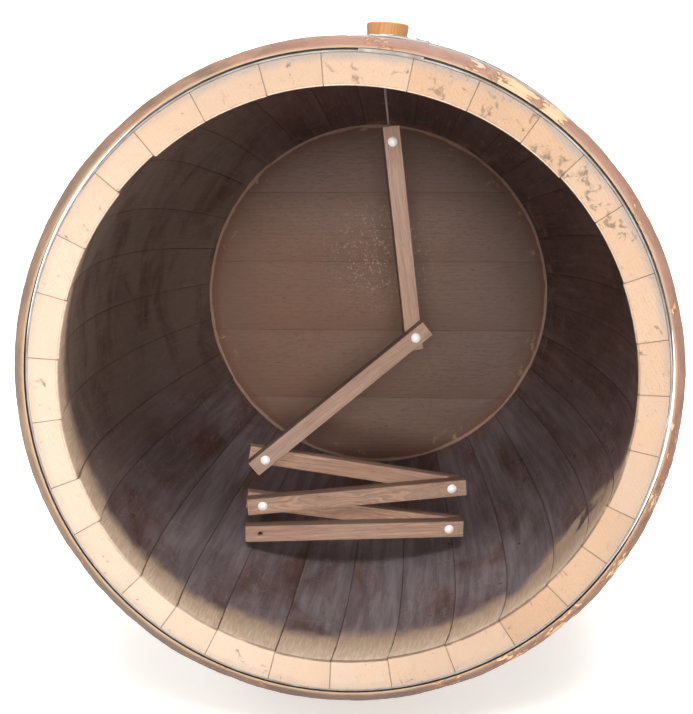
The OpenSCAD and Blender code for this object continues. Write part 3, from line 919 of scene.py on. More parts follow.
def head_material(settings):
    """Oak stained by wine inside, with painted light and shade on it, dry and grey outside."""
    material, g = new_material("Head oak", settings.stained_oak, BarrelGraph)
    # Each board's grain is shifted along it by its number, counted from the axis.
    board = g.math("FLOOR", g.math("MULTIPLY", g.up, 9.1))
    shifted = g.node("ShaderNodeCombineXYZ", {
        0: g.z, 1: g.y, 2: g.math("MULTIPLY_ADD", board, 1.37, g.x),
    }).outputs[0]
    wood = g.fibres(shifted, 420.0, 150.0, 0.02)
    stained = Vector(settings.stained_oak)
    inner = g.blend(wood["Fibre"], tuple(stained * 0.80), tuple(stained * 1.22))
    inner = g.lay(inner, tuple(stained * 0.62), wood["Rings"], 0.22)
    # Painted light: a warmer, lighter pool on the centre and left of the inner face; painted shade darkens it
    # towards the right side and the top.
    from_light_pool = g.distance(g.spot, (-0.11, HEAD_INNER_FACE, 0.30))
    inner = g.lay(inner, HEAD_LIGHT_POOL, g.step(from_light_pool, 0.24, 0.02), 0.62)
    inner = g.lay(inner, HEAD_SHADE_RIGHT, g.step(g.x, 0.03, 0.20, 0.0, 0.48))
    inner = g.lay(inner, HEAD_SHADE_TOP, g.step(g.up, 0.08, 0.24, 0.0, 0.35))
    grey = g.patches(g.spot, 7.0, 0.5, 0.2)
    inner = g.lay(inner, DRIED_GREY, grey, 0.40)
    # Painted highlight: pale glinting specks at the upper centre of the inner face.
    from_glints = g.distance(g.spot, (0.002, HEAD_INNER_FACE, 0.405))
    glints = g.step(g.noise(g.spot, 250.0, 4.0, 0.66), 0.555, 0.665)
    glints = g.math("MULTIPLY", glints, g.step(from_glints, 0.115, 0.02))
    inner = g.lay(inner, HEAD_GLINTS, glints, 0.65)
    # A paler band lies where the head is bevelled into its groove, with a thin pale ring at its edge.
    band = g.math("MULTIPLY_ADD", g.noise(g.spot, 34.0, 3.0), 0.008, g.radius)
    inner = g.lay(inner, GROOVE_BAND, g.step(band, 0.2570, 0.2640, 0.0, 0.55))
    inner = g.lay(inner, GROOVE_EDGE, g.step(band, 0.2700, 0.2716, 0.0, 0.85))
    flecks = g.math("MULTIPLY", g.patches(g.spot, 38.0, 0.2, 0.04),
                    g.step(g.radius, 0.238, 0.262))
    inner = g.lay(inner, GROOVE_FLECKS, flecks, 0.7)
    outer = g.blend(wood["Fibre"], OUTER_DARK, OUTER_PALE)
    outer = g.lay(outer, OUTER_RINGS, wood["Rings"], 0.35)
    outer = g.lay(outer, OUTER_GREY, grey, 0.5)
    colour = g.blend(g.step(g.y, HEAD_MIDDLE - 0.001, HEAD_MIDDLE + 0.001), inner, outer)
    # Dirt lies in the seams between boards.
    pitch = 2 * (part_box("head_board_3")[1].z - AXIS_HEIGHT + 0.0001)
    across = g.math("FRACT", g.math("ADD", g.math("DIVIDE", g.up, pitch), 10.5))
    off_seam = g.math("MINIMUM", across, g.math("SUBTRACT", 1.0, across))
    off_seam = g.math("MULTIPLY", off_seam, pitch)
    off_seam = g.math("MULTIPLY_ADD", g.noise(g.spot, 30.0), -0.0013, off_seam)
    colour = g.lay(colour, SEAM_DIRT, g.step(off_seam, 0.0004, -0.0004), 0.22)
    relief = g.math("MULTIPLY_ADD", wood["Pores"], -0.6, wood["Fibre"])
    rough = g.math("MULTIPLY_ADD", wood["Fibre"], 0.25, 0.48)
    g.surface(Base_Color=colour, Roughness=rough, Normal=g.bump(relief, 0.0005, 0.7),
              Specular_IOR_Level=0.40)
    return material


def dowel_material():
    material, g = new_material("Dowel beech", (0.62, 0.45, 0.29))
    wood = g.fibres(g.place(), 900.0, 500.0, 0.002)
    colour = g.blend(wood["Fibre"], (0.50, 0.34, 0.20), (0.72, 0.54, 0.36))
    g.surface(Base_Color=colour, Roughness=g.math("MULTIPLY_ADD", wood["Rings"], 0.1, 0.6),
              Normal=g.bump(wood["Fibre"], 0.0003))
    return material


HEAD_STEPS = 240  # round the head


class BARREL_OT_head(bpy.types.Operator):
    """Turn the closed head, part it into its boards and finish them inside and out"""

    bl_idname = "barrel.head"
    bl_label = "Closed head"
    bl_options = {"REGISTER", "UNDO"}

    def execute(self, context):
        settings = context.scene.barrel_head
        material = head_material(settings)
        section = section_of(*BOARDS)
        inner_centre, outer_centre = (
            (0.0, round(y, 5)) for y in (HEAD_INNER_FACE, HEAD_OUTER_FACE)
        )
        corners = hull(list(section | {inner_centre, outer_centre}))
        start = corners.index(inner_centre)
        line = corners[start:] + corners[:start]
        if line[1][0] < 1e-6:
            line = [line[0]] + line[:0:-1]
        disc = outline_piece("head", [around(r, 0.0, y) for r, y in line], closed=False)
        spin(disc, 2 * math.pi, HEAD_STEPS, (0, 0, AXIS_HEIGHT), (0, -1, 0))
        spans = [(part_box(node)[0].z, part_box(node)[1].z) for node in BOARDS]
        for number, node in enumerate(BOARDS):
            board = disc.copy()
            board.data = disc.data.copy()
            board.name = node + "_oak"
            context.scene.collection.objects.link(board)
            sides = []
            if number > 0:
                sides.append(((spans[number][0] + spans[number - 1][1]) / 2, 1))
            if number + 1 < len(BOARDS):
                sides.append(((spans[number][1] + spans[number + 1][0]) / 2, -1))
            for height, way in sides:
                edit(board)
                bpy.ops.mesh.bisect(
                    plane_co=(0, 0, height + way * settings.seam / 2), plane_no=(0, 0, way),
                    use_fill=True, clear_inner=True,
                )
                leave()
            round_edges(board, settings.edge_rounding)
            smooth(board)
            dress(board, material)
            hand_in(board, "barrel", "head_oak", node)
        bpy.data.objects.remove(disc)
        dress(NODES["head_dowels"], dowel_material())
        return {"FINISHED"}


# Steel hoops


DULL_ZINC = (0.24, 0.235, 0.235)
RUST = (0.155, 0.090, 0.060)


def steel_material(name, tint, spangle):
    """Zinc-coated steel with spangle cells of the given scale, dull and rusty in places."""
    material, g = new_material(name, tint)
    place = g.place()
    tint = Vector(tint)
    colour = g.blend(g.cells(place, spangle), tuple(tint * 0.82),
                     tuple(min(c * 1.12, 1.0) for c in tint))
    soft = g.noise(place, 14.0, 4.0, 0.6)
    colour = g.lay(colour, DULL_ZINC, g.step(soft, 0.42, 0.68), 0.6)
    rust = g.patches(place, 26.0, 0.36, 0.20)
    colour = g.lay(colour, RUST, rust, 0.7)
    brushed = g.noise(g.stretch(place, (1.0, 30.0, 1.0)), 60.0, 3.0)
    rough = g.math("MULTIPLY_ADD", brushed, 0.22, 0.46)
    rough = g.math("MULTIPLY_ADD", rust, 0.35, rough, clamp=True)
    metal = g.math("SUBTRACT", 0.60, g.math("MULTIPLY", rust, 0.50))
    g.surface(Base_Color=colour, Metallic=metal, Roughness=rough,
              Normal=g.bump(g.math("ADD", soft, g.math("MULTIPLY", brushed, 0.3)), 0.0006, 0.5))
    return material


class BARREL_OT_steel(bpy.types.Operator):
    """Finish the steel hoops, their rivets and the screw eye"""

    bl_idname = "barrel.steel"
    bl_label = "Steel hoops and rivets"
    bl_options = {"REGISTER", "UNDO"}

    def execute(self, context):
        zinc = tuple(context.scene.barrel_hoops.zinc)
        hoop = steel_material("Galvanised strip", zinc, 90.0)
        for node in STEEL_HOOPS:
            dress(NODES[node], hoop)
        dress(NODES["hoop_rivets"], steel_material("Rivet steel", (0.50, 0.49, 0.48), 300.0))
        dress(NODES["bung_eye"], steel_material("Plated wire", (0.66, 0.66, 0.67), 500.0))
        return {"FINISHED"}


# Chestnut hoops


# Colours of the chestnut rod.
BARK_RED = (0.155, 0.055, 0.038)
BARK_HIGHLIGHT = (0.34, 0.195, 0.150)
BARK_LIT_SIDE = (0.200, 0.150, 0.105)
BARK_SHADE = (0.085, 0.062, 0.052)
LENTICEL = (0.34, 0.25, 0.19)
RAW_PALE = (0.66, 0.46, 0.29)
INNER_BARK = (0.26, 0.105, 0.055)
CLEFT_DARK, CLEFT_PALE = (0.30, 0.20, 0.13), (0.50, 0.35, 0.22)


def bark_material(settings):
    """Chestnut bark with lenticels, painted light and shade, raw wood where it has peeled, and the split side."""
    material, g = new_material("Chestnut bark", settings.bark, BarrelGraph)
    run = g.attribute("run")
    bark = Vector(settings.bark)
    mottle = g.noise(g.stretch(run, (1.0, 1.0, 0.35)), 60.0, 5.0, 0.65)
    colour = g.blend(g.step(mottle, 0.32, 0.70), tuple(bark * 0.45), tuple(bark * 1.55))
    colour = g.lay(colour, BARK_RED, g.patches(g.stretch(run, (1, 1, 0.3)), 24.0, 0.5, 0.12), 0.50)
    # Painted light: a pinkish highlight at the upper right and paler taupe bark on the lit left; painted shade
    # darkens the bottom.
    colour = g.lay(colour, BARK_HIGHLIGHT, g.step(g.facing(50.0), 0.2, 0.95), 0.45)
    colour = g.lay(colour, BARK_LIT_SIDE, g.step(g.facing(185.0), 0.1, 0.9), 0.55)
    colour = g.lay(colour, BARK_SHADE, g.step(g.facing(258.0), 0.45, 0.95), 0.60)
    lenticels = g.cells(g.stretch(run, (1.0, 1.0, 2.6)), 150.0)
    colour = g.lay(colour, LENTICEL, g.step(lenticels, 0.16, 0.08), 0.35)
    # Raw wood shows where the bark is off, with a red edge of inner bark round it.
    wood = g.fibres(run, 700.0, 280.0, 0.004)
    raw = g.blend(wood["Fibre"], tuple(Vector(settings.peeled) * 0.8), RAW_PALE)
    flecks = g.noise(g.stretch(run, (1.0, 1.0, 0.42)), 210.0, 5.0, 0.68)
    ragged = g.math("MULTIPLY_ADD", g.math("SUBTRACT", flecks, 0.5), 2.3,
                    g.attribute("peeled", "Fac"))
    off = g.step(ragged, 0.47, 0.60)
    edge = g.math("MULTIPLY", g.step(ragged, 0.28, 0.47), g.math("SUBTRACT", 1.0, off))
    colour = g.lay(colour, INNER_BARK, edge, 0.75)
    colour = g.blend(off, colour, raw)
    cleft = g.blend(wood["Fibre"], CLEFT_DARK, CLEFT_PALE)
    colour = g.blend(g.attribute("split", "Fac"), colour, cleft)
    ridges = g.noise(g.stretch(run, (1.0, 1.0, 0.12)), 420.0, 4.0, 0.6)
    relief = g.math("ADD", ridges, g.math("MULTIPLY", mottle, 0.8))
    relief = g.math("MULTIPLY_ADD", off, -0.9, relief)
    rough = g.math("MULTIPLY_ADD", off, -0.12, g.math("MULTIPLY_ADD", mottle, 0.25, 0.55))
    g.surface(Base_Color=colour, Roughness=rough, Normal=g.bump(relief, 0.0012, 0.9),
              Specular_IOR_Level=0.38)
    return material


# Where the bark has come off the front rod: angle, reach in degrees, how much.
PEELED_PATCHES = (
    (60.0, 7.0, 0.95), (52.5, 5.0, 0.85), (67.0, 4.0, 0.6), (84.0, 6.0, 0.45),
    (352.0, 9.0, 0.45), (340.0, 8.0, 0.55), (326.0, 9.0, 0.50), (312.0, 9.0, 0.62),
    (300.0, 8.0, 0.50), (288.0, 8.0, 0.45), (30.0, 8.0, 0.38), (14.0, 8.0, 0.35),
    (214.0, 6.0, 0.30), (128.0, 9.0, 0.30), (250.0, 9.0, 0.35),
)
ROD_STEPS = 720  # round the hoop
ROD_SPACING = 0.0019  # between points of the rod's section
SLOPE_EDGE = 0.003  # how near its two edges the split side's slope is read
BARK_RISE = 0.0035  # height off the split side where bark has its full relief
BARK_THICKNESS = 0.0008
SPLIT_SHARE = 0.12  # below this share of the full relief lies the split side


def peel_at(angle, phase):
    """How far the bark has come off at an angle round the hoop, 0 to 1."""
    best = 0.0
    for centre, width, amount in PEELED_PATCHES:
        off = abs((math.degrees(angle) - phase - centre + 180.0) % 360.0 - 180.0)
        best = max(best, amount * (1.0 - off / width))
    return max(0.0, best)


class BARREL_OT_chestnut(bpy.types.Operator):
    """Spin the split chestnut rods that bind the ends, with bark ridges and bare patches"""

    bl_idname = "barrel.chestnut"
    bl_label = "Chestnut hoops"
    bl_options = {"REGISTER", "UNDO"}

    def execute(self, context):
        settings = context.scene.barrel_hoops
        material = bark_material(settings)
        for node, phase in (("front_chestnut_hoop", 0.0), ("rear_chestnut_hoop", 137.0)):
            outline = resample(hull(list(section_of(node))), ROD_SPACING)
            inner = min(p[0] for p in outline)
            piece = outline_piece(node + "_rod", [around(r, 0.0, y) for r, y in outline])
            spin(piece, 2 * math.pi, ROD_STEPS, (0, 0, AXIS_HEIGHT), (0, -1, 0))
            low, high = min(p[1] for p in outline), max(p[1] for p in outline)
            middle = (low + high) / 2
            slope = (
                min(r for r, y in outline if y < low + SLOPE_EDGE)
                - min(r for r, y in outline if y > high - SLOPE_EDGE)
            ) / (low - high)

            def height(co):
                """How far a point stands off the rod's flat, split side."""
                base = inner + (high - low) / 2 * abs(slope) + (co.y - middle) * slope
                return radius_of(co) - base

            bark_shares = []
            for vertex in piece.data.vertices:
                angle = angle_of(vertex.co)
                share = min(1.0, max(0.0, height(vertex.co) / BARK_RISE))
                bark_shares.append(share)
                run = angle * END_RADIUS
                where = Vector((math.cos(angle) * 7 + phase, math.sin(angle) * 7, vertex.co.y * 60))
                ridge = noise.noise(where * 3.1) * 0.6 + noise.noise(where * 9.0) * 0.4
                knot = max(0.0, noise.noise(Vector((run * 9.0, phase, 4.2))) - 0.42) * 2.2
                lift = settings.bark_relief * (ridge + knot)
                lift -= BARK_THICKNESS * min(1.0, 2.0 * peel_at(angle, phase))
                outwards = Vector((vertex.co.x, 0, vertex.co.z - AXIS_HEIGHT)).normalized()
                vertex.co += outwards * lift * share
            record_vector(piece, "run", lambda co: (
                co.y, radius_of(co), abs(angle_of(co)) * END_RADIUS))
            record_number(piece, "peeled", lambda co: peel_at(angle_of(co), phase))
            split = piece.data.attributes.new("split", "FLOAT", "POINT")
            for index, share in enumerate(bark_shares):
                split.data[index].value = 1.0 if share < SPLIT_SHARE else 0.0
            smooth(piece, 50.0)
            dress(piece, material)
            hand_in(piece, "barrel", "chestnut_bark", node)
        return {"FINISHED"}


# Bung


WINE_STAIN = (0.105, 0.035, 0.035)
GRIME = (0.30, 0.16, 0.08)
LATHE_STEP = 0.0016  # between points of the turned outline
LATHE_DEPTH = 0.0018  # of the lathe rings, as a share of the radius
LATHE_PITCH = 2100.0  # radians of ring a metre


def bung_material(settings):
    """Turned wood, dark with wine where it sits in the stave."""
    material, g = new_material("Turned bung", settings.bung_wood)
    grain = g.attribute("grain")
    wood = g.fibres(grain, 620.0, 330.0, 0.006)
    tone = Vector(settings.bung_wood)
    colour = g.blend(wood["Fibre"], tuple(tone * 0.74), tuple(min(c * 1.2, 1) for c in tone))
    colour = g.lay(colour, tuple(tone * 0.55), wood["Rings"], 0.40)
    colour = g.lay(colour, WINE_STAIN, g.step(g.attribute("sunk", "Fac"), -0.001, 0.006), 0.8)
    colour = g.lay(colour, GRIME, g.patches(grain, 45.0, 0.3, 0.1), 0.30)
    g.surface(Base_Color=colour, Roughness=g.math("MULTIPLY_ADD", wood["Fibre"], 0.2, 0.45),
              Normal=g.bump(wood["Fibre"], 0.0004, 0.7))
    return material


class BARREL_OT_bung(bpy.types.Operator):
    """Turn the tapered bung, with a softened top and fine lathe rings"""

    bl_idname = "barrel.bung"
    bl_label = "Bung"
    bl_options = {"REGISTER", "UNDO"}

    def execute(self, context):
        origin, axis = bung_frame()
        outline = turned_outline("bung", origin, axis)
        low, high = min(p[1] for p in outline), max(p[1] for p in outline)
        side = axis.orthogonal().normalized()
        skin = [p for p in outline if p[0] > 1e-6]
        skin = sorted(skin, key=lambda p: (p[1], p[0]))
        line = [(0.0, low)]
        for a, b in zip(skin, skin[1:]):
            parts = max(1, round(math.dist(a, b) / LATHE_STEP))
            line += [(a[0] + (b[0] - a[0]) * k / parts, a[1] + (b[1] - a[1]) * k / parts)
                     for k in range(parts)]
        line += [skin[-1], (skin[-1][0] * 0.55, high - 0.0001), (0.0, high - 0.0003)]
        ridged = [
            (radius * (1.0 + LATHE_DEPTH * math.sin(along * LATHE_PITCH)) - 0.00005, along)
            if radius > 0 else (radius, along) for radius, along in line
        ]
        points = [origin + side * radius + axis * along for radius, along in ridged]
        piece = outline_piece("bung_turned", points, closed=False)
        spin(piece, 2 * math.pi, 96, origin, axis)
        smooth(piece, 40.0)
        cross = axis.cross(side)
        record_vector(piece, "grain", lambda co: (
            (co - origin).dot(side) * 0.9 + 0.31, (co - origin).dot(cross),
            (co - origin).dot(axis)))
        surface = outer_at(0.0)
        record_number(piece, "sunk", lambda co: surface - (co - origin).dot(axis))
        dress(piece, bung_material(context.scene.barrel_chain))
        hand_in(piece, "bung", "bung_wood", "bung")
        return {"FINISHED"}


# Cord


CORD_RADIUS = 0.0015
CORD_LAY = 0.0085  # length of one turn of a strand
LOOP_POINTS, CORD_POINTS = 48, 90
# Centre line and knot of the loop in the screw eye, and of the loop round the first peg.
UPPER_LOOP, UPPER_DROP, UPPER_KNOT = 0.00495, 0.00185, 0.0079
LOWER_LOOP, LOWER_KNOT = 0.00455, 0.00555
WHIPPING_TURNS, WHIPPING_THREAD, TURN_POINTS = 5, 0.00045, 20
WINE_TINT = (0.26, 0.13, 0.15)


def cord_material(settings):
    material, g = new_material("Cord", settings.cord_colour)
    place = g.place()
    tone = Vector(settings.cord_colour)
    fuzz = g.noise(g.stretch(place, (1.0, 1.0, 0.3)), 2600.0, 3.0, 0.6)
    colour = g.blend(fuzz, tuple(tone * 0.62), tuple(min(c * 1.45, 1) for c in tone))
    wine = g.noise(place, 70.0, 3.0)
    colour = g.lay(colour, WINE_TINT, g.step(wine, 0.45, 0.7, 0.0, 0.5))
    g.surface(Base_Color=colour, Roughness=g.math("MULTIPLY_ADD", fuzz, 0.15, 0.78),
              Normal=g.bump(fuzz, 0.0003), Sheen_Weight=0.25)
    return material


def tube(name, points, radius, cyclic=False):
    """A round tube along points, as a mesh."""
    curve = bpy.data.curves.new(name, "CURVE")
    curve.dimensions = "3D"
    curve.bevel_depth = radius
    curve.bevel_resolution = 2
    curve.use_fill_caps = not cyclic
    spline = curve.splines.new("POLY")
    spline.points.add(len(points) - 1)
    for target, point in zip(spline.points, points):
        target.co = (*point, 1.0)
    spline.use_cyclic_u = cyclic
    piece = bpy.data.objects.new(name, curve)
    bpy.context.scene.collection.objects.link(piece)
    pick(piece)
    bpy.ops.object.convert(target="MESH")
    return bpy.context.active_object


def strands(name, path, side, plies, cyclic=False):
    """Plies laid round a path; side(k) gives two cross directions at its point k."""
    ply = CORD_RADIUS / (1 + 1 / math.sin(math.pi / plies))
    away = CORD_RADIUS - ply
    lay = CORD_LAY
    made = []
    length = 0.0
    lengths = [0.0]
    for a, b in zip(path, path[1:]):
        length += (b - a).length
        lengths.append(length)
    if cyclic:
        length += (path[0] - path[-1]).length
        lay = length / max(1, round(length / lay))
    for strand in range(plies):
        points = []
        for k, point in enumerate(path):
            a, b = side(k)
            phase = 2 * math.pi * (lengths[k] / lay + strand / plies)
            points.append(point + (a * math.cos(phase) + b * math.sin(phase)) * away)
        made.append(tube(f"{name}_{strand}", points, ply * 1.04, cyclic))
    return made


def join(name, pieces):
    bpy.ops.object.select_all(action="DESELECT")
    for piece in pieces:
        piece.select_set(True)
    bpy.context.view_layer.objects.active = pieces[0]
    bpy.ops.object.join()
    pieces[0].name = name
    return pieces[0]


class BARREL_OT_cord(bpy.types.Operator):
    """Lay the cord's strands from the screw eye to the first peg, with whipped loops"""

    bl_idname = "barrel.cord"
    bl_label = "Cord"
    bl_options = {"REGISTER", "UNDO"}

    def execute(self, context):
        settings = context.scene.barrel_chain
        plies = settings.cord_plies
        top = Vector(JOINTS["cord_swing"]["pos_m"])
        peg = Vector(JOINTS["peg_1_turn"]["pos_m"])
        peg_axis = Vector(JOINTS["peg_1_turn"]["axis"]).normalized()
        down = (peg - top).normalized()
        across = Vector((0, 1, 0))
        other = down.cross(across)

        def loop(name, centre, size, axis, start):
            first = (start - axis * start.dot(axis)).normalized()
            second = axis.cross(first)
            turns = [2 * math.pi * k / LOOP_POINTS for k in range(LOOP_POINTS)]
            arms = [first * math.cos(t) + second * math.sin(t) for t in turns]
            path = [centre + arm * size for arm in arms]
            return strands(name, path, lambda k: (arms[k], axis), plies, True)

        def whipping(name, centre):
            """Thread wound round the cord, its coil a little fuller at the middle."""
            coil = []
            count = WHIPPING_TURNS * TURN_POINTS
            for k in range(count + 1):
                t = 2 * math.pi * k / TURN_POINTS
                along = (k / count - 0.5) * WHIPPING_TURNS * WHIPPING_THREAD * 2
                swell = 0.0019 + 0.0002 * math.cos(math.pi * (2 * k / count - 1))
                coil.append(centre + down * along
                            + (across * math.cos(t) + other * math.sin(t)) * swell)
            return tube(name, coil, WHIPPING_THREAD)

        pieces = loop("upper_loop", top + down * UPPER_DROP, UPPER_LOOP, other, down)
        pieces += loop("lower_loop", peg, LOWER_LOOP, peg_axis, -down)
        start, finish = top + down * UPPER_KNOT, peg - down * LOWER_KNOT
        path = [start.lerp(finish, k / CORD_POINTS) for k in range(CORD_POINTS + 1)]
        pieces += strands("lay", path, lambda k: (across, other), plies)
        pieces += [whipping("upper_whipping", start), whipping("lower_whipping", finish)]
        cord = join("cord_laid", pieces)
        smooth(cord, 60.0)
        dress(cord, cord_material(settings))
        hand_in(cord, "cord", "cord_fibre", "cord")
        return {"FINISHED"}


# Slats


# Colours of the slats.
FADED = (0.400, 0.290, 0.245)
STAINED_PATCH = (0.235, 0.125, 0.092)
TIP_HIGHLIGHT = (0.56, 0.42, 0.32)
WORN_ARRIS = (0.52, 0.36, 0.27)
SHADED_TOP = (0.130, 0.078, 0.058)
PEG_HOLE_RADIUS = 0.0028


def slat_material(settings):
    """Sawn oak tinted by wine, with a flame figure on some slats and paler ends."""
    material, g = new_material("Slat oak", settings.slat_oak)
    grain = g.attribute("grain")
    seed = g.attribute("seed", "Fac")
    figure = g.attribute("figure", "Fac")
    height, _, along = g.parts(g.attribute("where"))[:3]
    flame = g.noise(g.stretch(grain, (1.0, 1.0, 0.28)), 48.0, 2.0, 0.5)
    sideways = g.math("MULTIPLY", g.math("MULTIPLY", flame, figure), 0.055)
    push = g.node("ShaderNodeCombineXYZ", {0: sideways}).outputs[0]
    warped = g.node("ShaderNodeVectorMath", {0: grain, 1: push}).outputs[0]
    wood = g.fibres(warped, 620.0, 210.0, 0.016)
    tone = Vector(settings.slat_oak)
    colour = g.blend(g.step(wood["Fibre"], 0.30, 0.70), tuple(tone * 0.70), tuple(tone * 1.26))
    colour = g.lay(colour, tuple(tone * 0.42), wood["Rings"],
                   g.math("MULTIPLY_ADD", figure, 0.30, 0.24))
    colour = g.lay(colour, tuple(tone * 0.38), wood["Pores"], 0.55)
    faded = g.patches(g.stretch(grain, (1, 1, 0.25)), 14.0, 0.62, 0.2)
    colour = g.lay(colour, FADED, faded, seed)
    stained = g.patches(g.stretch(grain, (1, 1, 0.2)), 40.0, 0.42, 0.12)
    colour = g.lay(colour, STAINED_PATCH, stained, 0.32)
    # Sawn ends carry a painted highlight and lower arrises have worn paler; the upper side carries painted shade.
    tip = g.math("MAXIMUM", g.step(along, -0.0175, -0.0187), g.step(along, 0.2610, 0.2622))
    colour = g.lay(colour, TIP_HIGHLIGHT, tip, 0.55)
    colour = g.lay(colour, WORN_ARRIS, g.step(height, -0.0088, -0.0102), 0.30)
    colour = g.lay(colour, SHADED_TOP, g.step(height, 0.0096, 0.0103), 0.55)
    relief = g.math("MULTIPLY_ADD", wood["Pores"], -0.7, wood["Fibre"])
    saw = g.math("SINE", g.math("MULTIPLY_ADD", along, 2600.0, g.math("MULTIPLY", height, 520.0)))
    relief = g.math("MULTIPLY_ADD", saw, 0.10, relief)
    rough = g.math("MULTIPLY_ADD", wood["Fibre"], 0.22, 0.56)
    g.surface(Base_Color=colour, Roughness=rough, Normal=g.bump(relief, 0.0005, 0.75),
              Specular_IOR_Level=0.38)
    return material


def chain_points():
    """The pegs' places and the last slat's empty hole, in order."""
    places = [Vector(JOINTS[f"peg_{k}_turn"]["pos_m"]) for k in range(1, 7)]
    hole = next(m for m in RECORD["mounts"] if m["name"] == "next_link_hole")
    return places + [Vector(hole["pos_m"])]


# How faded and how strongly figured each slat is.
SLAT_FADING = (0.75, 0.70, 0.25, 0.40, 0.25, 0.35)
SLAT_FIGURE = (0.2, 0.35, 0.15, 1.0, 0.45, 0.25)


def slat_frame(number, places):
    """Matrix of a slat: z along it, x up its face, y through it to the rear."""
    through = -Vector(JOINTS["peg_1_turn"]["axis"]).normalized()
    along = places[number + 1] - places[number]
    along = (along - through * along.dot(through)).normalized()
    up = through.cross(along)
    basis = Matrix((up, through, along)).transposed().to_4x4()
    basis.translation = places[number]
    return basis


class BARREL_OT_slats(bpy.types.Operator):
    """Saw the six slats, bore their peg holes and soften their arrises"""

    bl_idname = "barrel.slats"
    bl_label = "Chain slats"
    bl_options = {"REGISTER", "UNDO"}

    def execute(self, context):
        settings = context.scene.barrel_chain
        material = slat_material(settings)
        places = chain_points()
        pitch = (places[1] - places[0]).length
        for number, node in enumerate(SLATS):
            basis = slat_frame(number, places)
            back = basis.inverted()
            local = [back @ v.co for v in NODES[node].data.vertices]
            low = Vector(map(min, zip(*local)))
            high = Vector(map(max, zip(*local)))
            bpy.ops.object.select_all(action="DESELECT")
            bpy.ops.mesh.primitive_cube_add(size=1.0, location=(low + high) / 2)
            piece = context.active_object
            piece.name = node + "_sawn"
            piece.scale = high - low
            bpy.ops.object.transform_apply(location=True, rotation=True, scale=True)
            for along in (0.0, pitch):
                bpy.ops.mesh.primitive_cylinder_add(
                    vertices=40, radius=PEG_HOLE_RADIUS, depth=0.06,
                    location=(0, (low.y + high.y) / 2, along),
                    rotation=(math.pi / 2, 0, 0),
                )
                cut(piece, context.active_object)
            round_edges(piece, settings.slat_rounding, 3)
            smooth(piece, 30.0)
            chance = random.Random(number + 101)
            shift = Vector((chance.random() * 3, chance.random() * 3, chance.random() * 3))
            lean = (chance.random() - 0.5) * 0.05
            record_vector(piece, "where", lambda co: co.copy())
            record_vector(piece, "grain", lambda co: Vector(
                (co.x + co.y * 0.35 + co.z * lean, co.y, co.z)) + shift)
            record_number(piece, "seed", lambda co: SLAT_FADING[number])
            record_number(piece, "figure", lambda co: SLAT_FIGURE[number])
            piece.data.transform(basis)
            dress(piece, material)
            hand_in(piece, f"link_{number + 1}", "slat_oak", node)
        return {"FINISHED"}


# Pegs


def peg_material(settings):
    material, g = new_material("White peg", settings.peg_white)
    place = g.place()
    tone = Vector(settings.peg_white)
    dust = g.noise(place, 260.0, 3.0)
    colour = g.blend(g.step(dust, 0.55, 0.75, 0.0, 0.35), tuple(tone), tuple(tone * 0.92))
    g.surface(Base_Color=colour, Roughness=g.math("MULTIPLY_ADD", dust, 0.15, 0.22),
              Coat_Weight=0.6, Normal=g.bump(dust, 0.0001, 0.4))
    return material


class BARREL_OT_pegs(bpy.types.Operator):
    """Finish the white domed pegs"""

    bl_idname = "barrel.pegs"
    bl_label = "Chain pegs"
    bl_options = {"REGISTER", "UNDO"}

    def execute(self, context):
        material = peg_material(context.scene.barrel_chain)
        for node in PEGS:
            dress(NODES[node], material)
        return {"FINISHED"}


# Stage


WORLD_LIGHT = 0.30
WORLD_SEEN = 1.00  # brighter where the camera sees it, for a white ground
FLOOR_GLOW = 0.40
FLOOR_SIDE, FLOOR_FRONT, FLOOR_BACK, SWEEP_TOP = 9, 9, 4.5, 9.0
SWEEP_RADIUS = 1.5

# Name, place, what it points at, size, watts and tint of each lamp.
LAMPS = (
    ("Key", (-2.0, -2.8, 2.1), (-0.1, -0.4, 0.35), 1.5, 30.0, (1.0, 0.98, 0.95)),
    ("Fill", (2.4, -2.2, 1.6), (0.1, -0.4, 0.35), 1.8, 8.0, (1.0, 0.95, 0.88)),
    ("Top", (0.2, 0.4, 3.4), (0.0, 0.0, 0.4), 2.6, 90.0, (1.0, 1.0, 1.0)),
    ("Over", (0.1, -2.6, 2.6), (0.0, -0.2, 0.2), 1.0, 58.0, (1.0, 0.98, 0.96)),
    ("Mouth", (0.1, -5.0, 0.85), (0.0, 0.0, 0.33), 0.8, 150.0, (1.0, 0.95, 0.92)),
    ("Sweep", (0.0, 2.4, 4.4), (0.0, 5.5, 0.8), 3.0, 230.0, (1.0, 1.0, 1.0)),
)


def floor_material(tone):
    material, g = new_material("Pale floor", (tone, tone, tone))
    cloud = g.noise(g.place(), 1.5, 2.0)
    colour = g.blend(cloud, (tone, tone, tone), (tone * 0.985, tone * 0.985, tone * 0.98))
    g.surface(Base_Color=colour, Roughness=g.math("MULTIPLY_ADD", cloud, 0.05, 0.8),
              Emission_Color=(1.0, 0.99, 0.98), Emission_Strength=FLOOR_GLOW)
    return material


